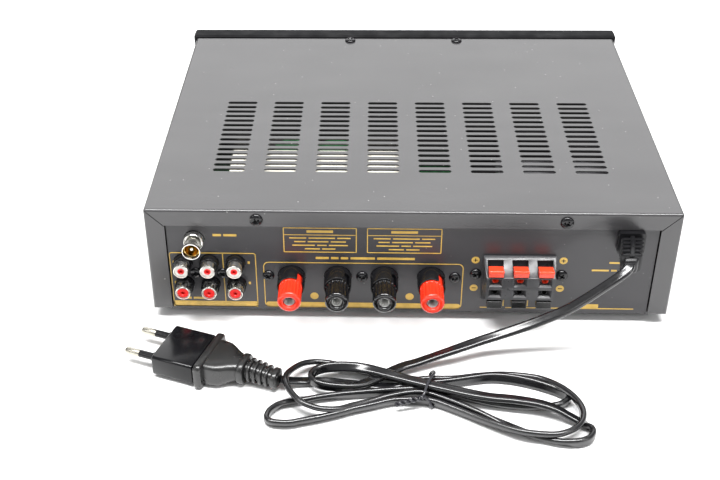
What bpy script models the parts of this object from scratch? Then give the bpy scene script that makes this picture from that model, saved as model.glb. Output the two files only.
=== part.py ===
"""A compact stereo power amplifier with a karaoke front panel and a fixed mains lead.

Frame: +Z up, the front panel faces -Y, the sockets face +Y. The origin is on the surface
that the feet stand on, in the middle of the amplifier without its lead. Every constant is
in millimetres, and the helpers that make meshes turn them into metres.
"""

import math

import bmesh
import bpy
from mathutils import Matrix, Vector

MM = 0.001
GAP = 0.3  # clearance between pieces that touch

# ---------------------------------------------------------------- driving dimensions
CASE_W = 280.0
CASE_D = 217.0  # rear face to the back of the front panel
CASE_H = 65.0
FOOT_H = 6.0
SHEET = 1.0

PANEL_W = 284.0
PANEL_H = 67.4
PANEL_T = 11.0
KNOB_OUT = 18.0  # volume knob, in front of the panel
POST_OUT = 22.0  # binding-post cap, behind the rear face

REAR = (CASE_D + PANEL_T + KNOB_OUT - POST_OUT) / 2  # y of the case's rear face
FRONT = REAR - CASE_D  # y of the front panel's back
FACE = FRONT - PANEL_T  # y of the front panel's face
BASE = FOOT_H  # z of the case's underside
TOP = BASE + CASE_H

FLANGE = 9.8  # rear flange of the cover
PANEL_SET_BACK = SHEET + GAP  # the rear panel lies under the cover's flange
PANEL_OUTER = REAR - PANEL_SET_BACK

VENT_COLUMNS = 8
VENT_ROWS = 15
VENT_SIZE = (17.9, 2.6)
VENT_PITCH = (28.3, 5.7)
VENT_MIDDLE = REAR - 81.4

PHONO_X = 107.3
PHONO_Z = BASE + 23.8
PHONO_PITCH = 14.2
PHONO_OUT = 8.0
PHONO_R = 4.15
AERIAL = (114.4, BASE + 46.0)

POST_PITCH = 25.0
POST_X = 25.6
POST_Z = BASE + 22.0
POST_XS = [POST_X + POST_PITCH * (1.5 - i) for i in range(4)]
COLLAR_R, COLLAR_BORE, COLLAR_OUT = 7.4, 6.75, 9.3
CAP_R, CAP_BORE, CAP_START = 6.3, 3.1, 2.3
WASHER_R, WASHER_T = 5.6, 0.8
STUD_R, STUD_BORE = 2.8, 2.0

CLIP_X = -58.2
CLIP_Z = BASE + 24.0
CLIP_W = 38.2
CLIP_TAPER = 1.2  # each side of the clip block leans in by this much
CLIP_OUT = 10.5
CLIP_BACK_H = 14.0  # half height at the panel
CLIP_NOSE_H = 7.0  # half height of the vertical nose
CLIP_PITCH = 13.0
CLIP_XS = [CLIP_X + CLIP_PITCH * (1 - i) for i in range(3)]
LEVER_W = 7.8
LEVER_PIVOT = (8.2, 8.4)  # behind the rear face, and above or below the block's middle

RELIEF_X = -114.5
RELIEF_Z = BASE + 48.2
RELIEF_END = (-110.4, 19.0, BASE + 48.0)

# The lead's free run: x, distance behind the rear face, height above the surface.
LEAD_R = 2.3
LEAD_ROUTE = [
    (-110.4, 19.5, 54.0),
    (-110.3, 21.4, 53.8),
    (-107.6, 24.4, 50.6),
    (-102.6, 26.0, 45.6),
    (-96.4, 27.0, 40.6),
    (-89.0, 27.3, 35.8),
    (-80.0, 27.3, 30.6),
    (-70.0, 27.2, 25.6),
    (-59.5, 27.5, 21.0),
    (-47.0, 28.6, 16.4),
    (-36.0, 30.4, 12.4),
    (-24.0, 33.2, 8.6),
    (-13.0, 36.6, 5.6),
    (-3.6, 40.2, 3.8),
    (1.6, 42.4, 3.0),
]

# The tied bundle, seen from above: x, distance behind the rear face.
HANK_OUTLINE = [
    (62.0, 37.5),
    (50.0, 32.5),
    (30.0, 34.0),
    (12.0, 41.0),
    (-2.0, 45.6),
    (-12.0, 46.6),
    (-26.0, 43.0),
    (-50.0, 38.5),
    (-76.0, 46.0),
    (-89.0, 66.0),
    (-90.0, 88.0),
    (-76.0, 98.5),
    (-56.0, 93.0),
    (-32.0, 79.0),
    (-12.0, 70.2),
    (0.0, 69.6),
    (22.0, 77.0),
    (44.0, 85.5),
    (64.0, 88.0),
    (73.0, 78.0),
    (69.6, 67.2),
    (64.9, 57.6),
]
HANK_LOW, HANK_HIGH = 1.6, 11.0
TIE_X = -9.6
TIE_WIRE = 1.2

# The plug lies on the surface; its axis runs from the adapter's pin face to the lead.
PLUG_START = (129.8, 34.6, 7.6)
PLUG_TURN = 160.5  # degrees from +X, anticlockwise from above
ADAPTER = (25.5, 26.0, 11.0)  # length, width, height
PIN_R, PIN_L, PIN_SPACING = 2.0, 17.0, 19.0


# ---------------------------------------------------------------- materials
def material(name, colour, roughness, metallic=0.0):
    found = bpy.data.materials.get(name)
    if found:
        return found
    made = bpy.data.materials.new(name)
    made.use_nodes = True
    shader = made.node_tree.nodes["Principled BSDF"]
    shader.inputs["Base Color"].default_value = (*colour, 1.0)
    shader.inputs["Roughness"].default_value = roughness
    shader.inputs["Metallic"].default_value = metallic
    made.diffuse_color = (*colour, 1.0)
    return made


def paint():
    return material("case_paint", (0.035, 0.035, 0.038), 0.42)


def gloss():
    return material("front_gloss", (0.012, 0.012, 0.014), 0.12)


def dark_plastic():
    return material("jack_plastic", (0.02, 0.02, 0.021), 0.38)


def post_plastic(red):
    if red:
        return material("post_red", (0.80, 0.05, 0.02), 0.3)
    return material("post_black", (0.018, 0.018, 0.018), 0.3)


def lever_plastic(red):
    if red:
        return material("lever_red", (0.82, 0.07, 0.03), 0.35)
    return material("lever_black", (0.025, 0.025, 0.025), 0.45)


def plated():
    return material("plated_metal", (0.72, 0.70, 0.66), 0.22, 1.0)


def satin_metal():
    return material("knob_aluminium", (0.62, 0.62, 0.64), 0.3, 1.0)


def screw_steel():
    return material("screw_black", (0.03, 0.03, 0.032), 0.35, 0.8)


def lead_pvc():
    return material("lead_pvc", (0.012, 0.012, 0.013), 0.3)


# ---------------------------------------------------------------- mesh helpers
def finish(name, mesh_data, finish_material, origin=(0, 0, 0), smooth_angle=35):
    """Links a bmesh, in millimetres and world place, as an object with its origin at `origin`."""
    bmesh.ops.translate(mesh_data, verts=mesh_data.verts, vec=-Vector(origin))
    bmesh.ops.scale(mesh_data, verts=mesh_data.verts, vec=(MM, MM, MM))
    bmesh.ops.recalc_face_normals(mesh_data, faces=mesh_data.faces)
    mesh = bpy.data.meshes.new(name)
    mesh_data.to_mesh(mesh)
    mesh_data.free()
    mesh.shade_smooth()
    mesh.set_sharp_from_angle(angle=math.radians(smooth_angle))
    if finish_material:
        mesh.materials.append(finish_material)
    made = bpy.data.objects.new(name, mesh)
    made.location = Vector(origin) * MM
    bpy.context.scene.collection.objects.link(made)
    return made


def add_box(mesh_data, low, high):
    low, high = Vector(low), Vector(high)
    size = high - low
    place = Matrix.Translation((low + high) / 2) @ Matrix.Diagonal((*size, 1))
    bmesh.ops.create_cube(mesh_data, size=1, matrix=place)


def add_prism(mesh_data, outline, axis, start, end):
    """Extrudes a closed 2D outline along an axis, 0 for X, 1 for Y or 2 for Z."""

    def point(a, b, along):
        return {0: (along, a, b), 1: (a, along, b), 2: (a, b, along)}[axis]

    lower = [mesh_data.verts.new(point(a, b, start)) for a, b in outline]
    upper = [mesh_data.verts.new(point(a, b, end)) for a, b in outline]
    mesh_data.faces.new(lower)
    mesh_data.faces.new(reversed(upper))
    count = len(outline)
    for i in range(count):
        j = (i + 1) % count
        mesh_data.faces.new((lower[j], lower[i], upper[i], upper[j]))


def circle(radius, segments, middle=(0.0, 0.0)):
    return [
        (
            middle[0] + radius * math.cos(2 * math.pi * i / segments),
            middle[1] + radius * math.sin(2 * math.pi * i / segments),
        )
        for i in range(segments)
    ]


def add_turned(mesh_data, profile, place, segments=16):
    """Turns (radius, height) points about +Z, closes the ends, and moves the result by `place`."""
    rings = []
    for radius, height in profile:
        if radius == 0:
            rings.append([mesh_data.verts.new(place @ Vector((0, 0, height)))])
            continue
        ring = [place @ Vector((x, y, height)) for x, y in circle(radius, segments)]
        rings.append([mesh_data.verts.new(point) for point in ring])
    for first, second in zip(rings, rings[1:] + rings[:1]):
        if len(first) == 1 and len(second) == 1:
            continue
        for i in range(segments):
            j = (i + 1) % segments
            if len(first) == 1:
                mesh_data.faces.new((first[0], second[i], second[j]))
            elif len(second) == 1:
                mesh_data.faces.new((first[i], second[0], first[j]))
            else:
                mesh_data.faces.new((first[i], second[i], second[j], first[j]))


def facing(direction, at):
    """Turns +Z to `direction` and moves it to `at`."""
    turn = Vector((0, 0, 1)).rotation_difference(Vector(direction))
    return Matrix.Translation(at) @ turn.to_matrix().to_4x4()


def turned(name, profile, finish_material, direction, at, segments=16):
    mesh_data = bmesh.new()
    add_turned(mesh_data, profile, facing(direction, at), segments)
    return finish(name, mesh_data, finish_material, origin=at)


def cutter(name, mesh_data):
    made = finish(name, mesh_data, None)
    made.hide_render = True
    made.display_type = "WIRE"
    return made


def combine(target, other, operation):
    change = target.modifiers.new(other.name, "BOOLEAN")
    change.operation = operation
    change.object = other
    change.solver = "EXACT"


def bevelled(target, width, angle=40):
    edge = target.modifiers.new("edges", "BEVEL")
    edge.width = width * MM
    edge.segments = 1
    edge.limit_method = "ANGLE"
    edge.angle_limit = math.radians(angle)
    return target


# ---------------------------------------------------------------- case
def vent_cutter():
    mesh_data = bmesh.new()
    for column in range(VENT_COLUMNS):
        for row in range(VENT_ROWS):
            x = (column - (VENT_COLUMNS - 1) / 2) * VENT_PITCH[0]
            y = VENT_MIDDLE + (row - (VENT_ROWS - 1) / 2) * VENT_PITCH[1]
            add_box(
                mesh_data,
                (x - VENT_SIZE[0] / 2, y - VENT_SIZE[1] / 2, TOP - 3),
                (x + VENT_SIZE[0] / 2, y + VENT_SIZE[1] / 2, TOP + 3),
            )
    return cutter("vent_cutter", mesh_data)


def make_cover():
    """Top, two sides and a narrow flange round the rear, folded from one sheet."""
    half = CASE_W / 2
    front = FRONT + GAP
    outer = bmesh.new()
    add_box(outer, (-half, front, BASE + SHEET), (half, REAR, TOP))
    cover = finish("top_cover", outer, paint())
    inner = bmesh.new()
    add_box(
        inner,
        (-half + SHEET, front - 5, BASE - 5),
        (half - SHEET, REAR - SHEET, TOP - SHEET),
    )
    combine(cover, cutter("cover_inside", inner), "DIFFERENCE")
    window = bmesh.new()
    add_box(
        window,
        (-half + FLANGE, REAR - 5, BASE - 5),
        (half - FLANGE, REAR + 5, TOP - FLANGE),
    )
    combine(cover, cutter("cover_rear_window", window), "DIFFERENCE")
    combine(cover, vent_cutter(), "DIFFERENCE")


def make_tray():
    """Floor of the case, with low side walls and a lower lip at the front."""
    half = CASE_W / 2 - SHEET - GAP
    back = PANEL_OUTER - SHEET - GAP
    front = FRONT + GAP
    wall_h, lip_h = 16.0, 7.0
    outer = bmesh.new()
    add_box(outer, (-half, front, BASE), (half, back, BASE + wall_h))
    tray = finish("chassis_tray", outer, paint())
    inner = bmesh.new()
    add_box(
        inner,
        (-half + SHEET, front + SHEET, BASE + SHEET),
        (half - SHEET, back + 5, BASE + wall_h + 5),
    )
    combine(tray, cutter("tray_inside", inner), "DIFFERENCE")
    above_lip = bmesh.new()
    add_box(
        above_lip,
        (-half - 5, front - 5, BASE + lip_h),
        (half + 5, front + 8, BASE + wall_h + 5),
    )
    combine(tray, cutter("tray_above_lip", above_lip), "DIFFERENCE")


def rear_holes():
    """Cut-outs for the sockets, the clip block and the lead's strain relief."""
    clear = 0.3
    near, far = PANEL_OUTER - 12, PANEL_OUTER + 12
    mesh_data = bmesh.new()
    for x, z in phono_places():
        add_prism(mesh_data, circle(5.1 + clear, 16, (x, z)), 1, near, far)
    for x in POST_XS:
        add_prism(mesh_data, circle(COLLAR_R + clear, 20, (x, POST_Z)), 1, near, far)
    add_prism(mesh_data, circle(5.3 + clear, 16, AERIAL), 1, near, far)
    half_w = CLIP_W / 2 - 1.5
    add_box(
        mesh_data,
        (CLIP_X - half_w, near, CLIP_Z - 12),
        (CLIP_X + half_w, far, CLIP_Z + 12),
    )
    add_box(
        mesh_data,
        (RELIEF_X - 5, near, RELIEF_Z - 4.6),
        (RELIEF_X + 5, far, RELIEF_Z + 4.6),
    )
    return cutter("rear_holes", mesh_data)


def make_rear_panel():
    half = CASE_W / 2 - FLANGE - 1.2
    plate = bmesh.new()
    low = BASE + SHEET + GAP
    add_box(plate, (-half, PANEL_OUTER - SHEET, BASE), (half, PANEL_OUTER, TOP - 3))
    panel = finish("rear_panel", plate, material("rear_paint", (0.055, 0.055, 0.058), 0.5))
    lip = bmesh.new()
    add_box(lip, (-half, PANEL_OUTER - 12, low), (half, PANEL_OUTER - SHEET / 2, low + SHEET))
    lip_piece = cutter("rear_panel_lip", lip)
    combine(panel, lip_piece, "UNION")
    combine(panel, rear_holes(), "DIFFERENCE")


def front_openings():
    """Through-holes and the window recess of the front panel."""
    mesh_data = bmesh.new()
    near, far = FACE - 5, FRONT + 5
    for x, z, radius in shaft_places():
        add_prism(mesh_data, circle(radius, 20, (x, z)), 1, near, far)
    for x in SMALL_BUTTON_XS:
        add_box(mesh_data, (x - 6.4, near, LOW_Z - 3.1), (x + 6.4, far, LOW_Z + 3.1))
    add_box(mesh_data, (USB_X - 7.6, near, LOW_Z - 4.2), (USB_X + 7.6, far, LOW_Z + 4.2))
    window_w, window_h = WINDOW_SIZE
    add_box(
        mesh_data,
        (WINDOW_X - window_w / 2 - GAP, near, WINDOW_Z - window_h / 2 - GAP),
        (WINDOW_X + window_w / 2 + GAP, far, WINDOW_Z + window_h / 2 + GAP),
    )
    return cutter("front_openings", mesh_data)


WINDOW_X, WINDOW_Z = -48.0, BASE + 43.0
WINDOW_SIZE = (92.0, 26.0)
LOW_Z = BASE + 15.0  # centre height of the socket and button row
USB_X = -84.0
SMALL_BUTTON_XS = [-56.0, -38.0, -20.0]
POWER_X, POWER_Z, POWER_R = -120.0, BASE + 33.0, 8.0
VOLUME = (106.0, BASE + 33.0)
BASS = (30.0, BASE + 41.0)
TREBLE = (60.0, BASE + 41.0)
MIC_LEVEL = (60.0, BASE + 15.5)
MIC_JACK = (30.0, BASE + 15.5)
SHAFT_HOLE_R = 4.0


def shaft_places():
    """x, z and hole radius of everything round on the front panel."""
    shafts = [(x, z, SHAFT_HOLE_R) for x, z in (VOLUME, BASS, TREBLE, MIC_LEVEL)]
    return shafts + [(*MIC_JACK, 6.0 + GAP), (POWER_X, POWER_Z, POWER_R + GAP)]


def make_front_panel():
    half = PANEL_W / 2
    low = BASE - 1.0
    high = low + PANEL_H
    shell = bmesh.new()
    add_box(shell, (-half, FACE, low), (half, FRONT, high))
    panel = finish("front_panel", shell, gloss())
    bevelled(panel, 1.2)
    hollow = bmesh.new()
    add_box(hollow, (-half + 3, FACE + 3, low + 3), (half - 3, FRONT + 5, high - 3))
    combine(panel, cutter("front_hollow", hollow), "DIFFERENCE")
    combine(panel, front_openings(), "DIFFERENCE")


def make_feet():
    inset_x, inset_y = 26.0, 24.0
    rubber = material("foot_rubber", (0.02, 0.02, 0.02), 0.8)
    profile = [(0, 0), (7.6, 0), (9.0, 1.0), (10.0, FOOT_H - GAP), (0, FOOT_H - GAP)]
    corners = [(x, y) for y in (FRONT + inset_y, REAR - inset_y) for x in (-1, 1)]
    for number, (side, y) in enumerate(corners, start=1):
        at = (side * (CASE_W / 2 - inset_x), y, 0)
        turned(f"foot_{number}", profile, rubber, (0, 0, 1), at)


# ---------------------------------------------------------------- front controls
def knob_profile(radius, reach, skirt):
    """From the shaft's tip inside the panel to the knob's face, all on one axis."""
    return [
        (0, -9.0),
        (3.0, -9.0),
        (3.0, 0.6),
        (radius + skirt, 0.6),
        (radius + skirt, 2.4),
        (radius, 3.4),
        (radius * 0.97, reach - 1.0),
        (radius * 0.93, reach),
        (0, reach),
    ]


def make_knobs():
    knobs = [
        ("volume_knob", VOLUME, 17.0, KNOB_OUT, 2.0, 28),
        ("bass_knob", BASS, 7.4, 13.0, 0.9, 16),
        ("treble_knob", TREBLE, 7.4, 13.0, 0.9, 16),
        ("mic_knob", MIC_LEVEL, 7.4, 13.0, 0.9, 16),
    ]
    for name, (x, z), radius, reach, skirt, segments in knobs:
        profile = knob_profile(radius, reach, skirt)
        turned(name, profile, satin_metal(), (0, -1, 0), (x, FACE, z), segments)


def make_power_button():
    profile = [(0, -8), (POWER_R, -8), (POWER_R, 2.2), (POWER_R - 0.8, 3.0), (0, 3.0)]
    turned("power_button", profile, satin_metal(), (0, -1, 0), (POWER_X, FACE, POWER_Z))


def make_small_buttons():
    for name, x in zip(("previous_button", "play_button", "next_button"), SMALL_BUTTON_XS):
        mesh_data = bmesh.new()
        add_box(mesh_data, (x - 6, FACE - 1.2, LOW_Z - 2.7), (x + 6, FACE + 7, LOW_Z + 2.7))
        button = finish(name, mesh_data, satin_metal(), origin=(x, FACE, LOW_Z))
        bevelled(button, 0.4)


def make_window():
    width, height = WINDOW_SIZE
    mesh_data = bmesh.new()
    add_box(
        mesh_data,
        (WINDOW_X - width / 2, FACE - 0.4, WINDOW_Z - height / 2),
        (WINDOW_X + width / 2, FACE + 2.2, WINDOW_Z + height / 2),
    )
    finish("display_window", mesh_data, material("window", (0.01, 0.012, 0.02), 0.05))


def make_mic_jack():
    """Threaded socket for a quarter-inch plug, with its ring nut."""
    profile = [
        (3.25, -17),
        (6.0, -17),
        (6.0, 0.3),
        (8.0, 0.3),
        (8.0, 2.0),
        (7.2, 2.6),
        (3.25, 2.6),
    ]
    turned("mic_jack", profile, plated(), (0, -1, 0), (MIC_JACK[0], FACE, MIC_JACK[1]), 20)


def make_usb_port():
    mesh_data = bmesh.new()
    add_box(mesh_data, (USB_X - 7.3, FACE - 0.6, LOW_Z - 3.9), (USB_X + 7.3, FACE + 15, LOW_Z + 3.9))
    port = finish("usb_port", mesh_data, plated())
    slot = bmesh.new()
    add_box(slot, (USB_X - 6.25, FACE - 5, LOW_Z - 2.6), (USB_X + 6.25, FACE + 13.5, LOW_Z + 2.6))
    combine(port, cutter("usb_slot", slot), "DIFFERENCE")


# ---------------------------------------------------------------- rear sockets
def phono_places():
    columns = [PHONO_X + PHONO_PITCH * (1 - i) for i in range(3)]
    rows = [PHONO_Z + PHONO_PITCH * (0.5 - i) for i in range(2)]
    return [(x, z) for z in rows for x in columns]


def make_phono_sockets():
    """Six phono barrels on one earth plate, in a black block with a collar round each."""
    earth_y = PANEL_OUTER - 8.5
    half_w, half_h = 1.5 * PHONO_PITCH, PHONO_PITCH
    plate = bmesh.new()
    add_box(
        plate,
        (PHONO_X - half_w, earth_y, PHONO_Z - half_h),
        (PHONO_X + half_w, earth_y + 1, PHONO_Z + half_h),
    )
    barrels = finish("rca_barrels", plate, plated())
    barrel_r, pin_r = PHONO_R, 1.6
    posts = bmesh.new()
    pins = bmesh.new()
    for x, z in phono_places():
        add_prism(posts, circle(barrel_r, 16, (x, z)), 1, earth_y + 0.5, REAR + PHONO_OUT)
        add_prism(pins, circle(pin_r, 8, (x, z)), 1, REAR - 2.0, REAR + PHONO_OUT + 3)
    combine(barrels, cutter("rca_posts", posts), "UNION")
    combine(barrels, cutter("rca_pin_holes", pins), "DIFFERENCE")

    body = bmesh.new()
    add_box(
        body,
        (PHONO_X - half_w, earth_y + 1 + GAP, PHONO_Z - half_h),
        (PHONO_X + half_w, PANEL_OUTER - SHEET - GAP, PHONO_Z + half_h),
    )
    block = finish("rca_block", body, dark_plastic())
    collars = bmesh.new()
    bores = bmesh.new()
    for x, z in phono_places():
        add_prism(collars, circle(5.1, 16, (x, z)), 1, PANEL_OUTER - 4, REAR + 3.0)
        add_prism(bores, circle(barrel_r + GAP, 16, (x, z)), 1, earth_y - 5, REAR + 12)
    combine(block, cutter("rca_collars", collars), "UNION")
    combine(block, cutter("rca_bores", bores), "DIFFERENCE")


def make_aerial_socket():
    """Coaxial aerial socket: a base cup, a barrel that flares at its mouth, and a centre pin."""
    base = PANEL_OUTER
    out = REAR + 11.0 - base
    shell = [
        (1.9, -8),
        (4.9, -8),
        (4.9, 0.4),
        (5.3, 0.4),
        (5.3, 3.8),
        (4.8, 3.8),
        (4.8, 1.4),
        (4.2, 1.4),
        (4.2, out - 2.4),
        (4.9, out - 1.0),
        (4.9, out),
        (4.4, out),
        (3.7, out - 2.0),
        (3.7, 0.6),
        (1.9, 0.6),
    ]
    at = (AERIAL[0], base, AERIAL[1])
    turned("antenna_shell", shell, plated(), (0, 1, 0), at)
    pin = [(0, -9), (1.5, -9), (1.5, 2.0), (1.15, 2.0), (1.15, 9.3), (0.6, 10.2), (0, 10.2)]
    turned("antenna_pin", pin, plated(), (0, 1, 0), at, 12)


def post_name(kind, index):
    return f"post_{kind}_{index + 1}"


def make_binding_posts():
    """Four screw-down posts in one moulding. Each cap turns on its stud and carries a washer."""
    half_w, half_h = 2 * POST_PITCH + 2, 11.0
    body = bmesh.new()
    add_box(
        body,
        (POST_X - half_w, PANEL_OUTER - 7, POST_Z - half_h),
        (POST_X + half_w, PANEL_OUTER - SHEET - GAP, POST_Z + half_h),
    )
    block = finish("post_block", body, dark_plastic())
    collars, hollows, slots, bores = (bmesh.new() for _ in range(4))
    for x in POST_XS:
        ring = circle(COLLAR_R, 20, (x, POST_Z))
        add_prism(collars, ring, 1, PANEL_OUTER - 4, REAR + COLLAR_OUT)
        hollow = circle(COLLAR_BORE, 20, (x, POST_Z))
        add_prism(hollows, hollow, 1, REAR + 0.9, REAR + COLLAR_OUT + 5)
        add_wire_slot(slots, x)
        bore = circle(STUD_R + GAP, 16, (x, POST_Z))
        add_prism(bores, bore, 1, PANEL_OUTER - 12, REAR + 5)
    combine(block, cutter("post_collars", collars), "UNION")
    combine(block, cutter("post_hollows", hollows), "DIFFERENCE")
    combine(block, cutter("post_slots", slots), "DIFFERENCE")
    combine(block, cutter("post_bores", bores), "DIFFERENCE")
    for index, x in enumerate(POST_XS):
        make_post(index, x, red=index in (0, 3))


def add_wire_slot(mesh_data, x):
    """Slot in a collar's upper shoulder, on the side away from the phono sockets."""
    low, high = (-1.9, REAR + 3.0, 4.0), (1.9, REAR + COLLAR_OUT + 4, 10.0)
    size = Vector(high) - Vector(low)
    middle = (Vector(high) + Vector(low)) / 2
    turn = Matrix.Rotation(math.radians(-45), 4, "Y")
    place = Matrix.Translation((x, 0, POST_Z)) @ turn @ Matrix.Translation(middle)
    bmesh.ops.create_cube(mesh_data, size=1, matrix=place @ Matrix.Diagonal((*size, 1)))


def make_post(index, x, red):
    base = (x, REAR, POST_Z)
    length = 20.4
    stud = [
        (0, -18),
        (STUD_R, -18),
        (STUD_R, length),
        (STUD_BORE, length),
        (STUD_BORE, length - 16),
        (0, length - 16),
    ]
    turned(post_name("stud", index), stud, plated(), (0, 1, 0), base)
    inner = STUD_R + GAP
    washer = [(inner, 1.2), (WASHER_R, 1.2), (WASHER_R, 1.2 + WASHER_T), (inner, 1.2 + WASHER_T)]
    turned(post_name("washer", index), washer, plated(), (0, 1, 0), base)
    cap = [
        (CAP_BORE, CAP_START),
        (CAP_R - 0.5, CAP_START),
        (CAP_R, CAP_START + 0.6),
        (CAP_R, POST_OUT - 1.0),
        (CAP_R - 0.9, POST_OUT),
        (CAP_BORE + 0.4, POST_OUT),
        (CAP_BORE, POST_OUT - 0.6),
    ]
    turned(post_name("cap", index), cap, post_plastic(red), (0, 1, 0), base)


def clip_outline():
    """Side outline of the clip block: out from the panel, down the nose, and back."""
    return [
        (PANEL_OUTER + GAP, CLIP_Z + CLIP_BACK_H),
        (REAR, CLIP_Z + CLIP_BACK_H),
        (REAR + CLIP_OUT, CLIP_Z + CLIP_NOSE_H),
        (REAR + CLIP_OUT, CLIP_Z - CLIP_NOSE_H),
        (REAR, CLIP_Z - CLIP_BACK_H),
        (PANEL_OUTER + GAP, CLIP_Z - CLIP_BACK_H),
    ]


def make_clip_block():
    """Push-clip terminals: three pairs of levers, with two rows of wire holes between them."""
    body = bmesh.new()
    add_prism(body, clip_outline(), 0, CLIP_X - CLIP_W / 2, CLIP_X + CLIP_W / 2)
    for vertex in body.verts:
        out = max(0.0, vertex.co.y - REAR) / CLIP_OUT
        side = 1 if vertex.co.x > CLIP_X else -1
        vertex.co.x -= side * CLIP_TAPER * out
    block = finish("clip_block", body, dark_plastic())
    back = bmesh.new()
    half_w = CLIP_W / 2 - 1.8
    add_box(
        back,
        (CLIP_X - half_w, PANEL_OUTER - 9, CLIP_Z - 11.7),
        (CLIP_X + half_w, PANEL_OUTER + 1, CLIP_Z + 11.7),
    )
    combine(block, cutter("clip_back", back), "UNION")
    recesses, funnels, holes = (bmesh.new() for _ in range(3))
    for x in CLIP_XS:
        for side in (-1, 1):
            add_lever_recess(recesses, x, side)
            add_wire_hole(funnels, holes, x, CLIP_Z + side * 3.5)
    combine(block, cutter("lever_recesses", recesses), "DIFFERENCE")
    combine(block, cutter("wire_funnels", funnels), "DIFFERENCE")
    combine(block, cutter("wire_holes", holes), "DIFFERENCE")


def add_lever_recess(mesh_data, x, side):
    inner, outer = CLIP_Z + side * 7.3, CLIP_Z + side * 12.8
    half = LEVER_W / 2 + GAP
    low, high = min(inner, outer), max(inner, outer)
    add_box(mesh_data, (x - half, REAR + 1.2, low), (x + half, REAR + 14, high))


def add_wire_hole(funnels, holes, x, z):
    """A funnel that narrows into a round wire hole."""
    face, depth = REAR + CLIP_OUT, 3.0
    wide = [(x - 3.6, z - 2.6), (x + 3.6, z - 2.6), (x + 3.6, z + 2.2), (x - 3.6, z + 2.2)]
    start = len(funnels.verts)
    add_prism(funnels, wide, 1, face - depth, face + 2)
    funnels.verts.ensure_lookup_table()
    for vertex in funnels.verts[start:]:
        if vertex.co.y < face:
            vertex.co.x = x + (vertex.co.x - x) * 0.45
            vertex.co.z = z + 0.6 + (vertex.co.z - z) * 0.35
    add_prism(holes, circle(1.5, 8, (x, z + 0.6)), 1, REAR - 4, face - depth + 1)


def make_clip_levers():
    for number, x in enumerate(CLIP_XS, start=1):
        make_lever(f"clip_lever_red_{number}", x, 1, True)
        make_lever(f"clip_lever_black_{number}", x, -1, False)


def make_lever(name, x, side, red):
    """A finger tab that swings into the block about an axis along X, near the block's nose."""
    outline = [(7.4, 8.0), (11.0, 7.8), (11.9, 11.4), (11.2, 12.2), (5.2, 11.2), (4.9, 10.4)]
    outline = [(REAR + out, CLIP_Z + side * up) for out, up in outline]
    mesh_data = bmesh.new()
    add_prism(mesh_data, outline, 0, x - LEVER_W / 2, x + LEVER_W / 2)
    pivot = (x, REAR + LEVER_PIVOT[0], CLIP_Z + side * LEVER_PIVOT[1])
    finish(name, mesh_data, lever_plastic(red), origin=pivot)


# ---------------------------------------------------------------- mains lead
def make_relief():
    """Moulded strain relief: a flange on the panel and a ribbed boot that leans to one side."""
    start = Vector((RELIEF_X, REAR + 1.5, RELIEF_Z))
    end = Vector((RELIEF_END[0], REAR + RELIEF_END[1], RELIEF_END[2]))
    mesh_data = bmesh.new()
    ribs = 5
    stations = [(0.0, 5.4, 5.6)]
    for rib in range(ribs):
        share = (rib + 0.35) / ribs
        narrow = 1.0 - 0.16 * share
        stations.append((share, 4.4 * narrow, 4.6 * narrow))
        stations.append((share + 0.45 / ribs, 5.4 * narrow, 5.6 * narrow))
    stations[-1] = (1.0, 4.5, 4.9)
    rings = []
    for share, half_w, half_h in stations:
        middle = start.lerp(end, share)
        corners = [(-1, -1), (1, -1), (1, 1), (-1, 1)]
        ring = [(middle.x + a * half_w, middle.y, middle.z + b * half_h) for a, b in corners]
        rings.append([mesh_data.verts.new(point) for point in ring])
    mesh_data.faces.new(rings[0])
    mesh_data.faces.new(rings[-1])
    for first, second in zip(rings, rings[1:]):
        for i in range(4):
            j = (i + 1) % 4
            mesh_data.faces.new((first[i], first[j], second[j], second[i]))
    boot = finish("cord_relief", mesh_data, lead_pvc())
    flange = bmesh.new()
    low, high = PANEL_OUTER + GAP, REAR + 2.4
    add_box(flange, (RELIEF_X - 6.8, low, RELIEF_Z - 6.6), (RELIEF_X + 6.8, high, RELIEF_Z + 6.6))
    combine(boot, cutter("relief_flange", flange), "UNION")
    neck = bmesh.new()
    low = PANEL_OUTER - 6
    add_box(neck, (RELIEF_X - 4.7, low, RELIEF_Z - 4.3), (RELIEF_X + 4.7, REAR + 1, RELIEF_Z + 4.3))
    combine(boot, cutter("relief_neck", neck), "UNION")


def smooth_route(points, spacing):
    """Points about `spacing` apart on a smooth curve through `points`."""
    points = [Vector(point) for point in points]
    padded = [2 * points[0] - points[1], *points, 2 * points[-1] - points[-2]]
    found = []
    for a, b, c, d in zip(padded, padded[1:], padded[2:], padded[3:]):
        steps = max(1, round((c - b).length / spacing))
        for step in range(steps):
            t = step / steps
            found.append(
                0.5
                * (
                    2 * b
                    + (c - a) * t
                    + (2 * a - 5 * b + 4 * c - d) * t**2
                    + (3 * b - a - 3 * c + d) * t**3
                )
            )
    return [*found, points[-1]]


def make_lead():
    """The free run of the lead, from the boot down to the tied bundle."""
    curve = bpy.data.curves.new("mains_cord", "CURVE")
    curve.dimensions = "3D"
    curve.bevel_depth = LEAD_R * MM
    curve.bevel_resolution = 2
    curve.use_fill_caps = True
    route = smooth_route([(x, REAR + out, z) for x, out, z in LEAD_ROUTE], 5 * LEAD_R)
    spline = curve.splines.new("POLY")
    spline.points.add(len(route) - 1)
    for point, place in zip(spline.points, route):
        point.co = (*(place * MM), 1.0)
    curve.materials.append(lead_pvc())
    lead = bpy.data.objects.new("mains_cord", curve)
    bpy.context.scene.collection.objects.link(lead)


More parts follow.
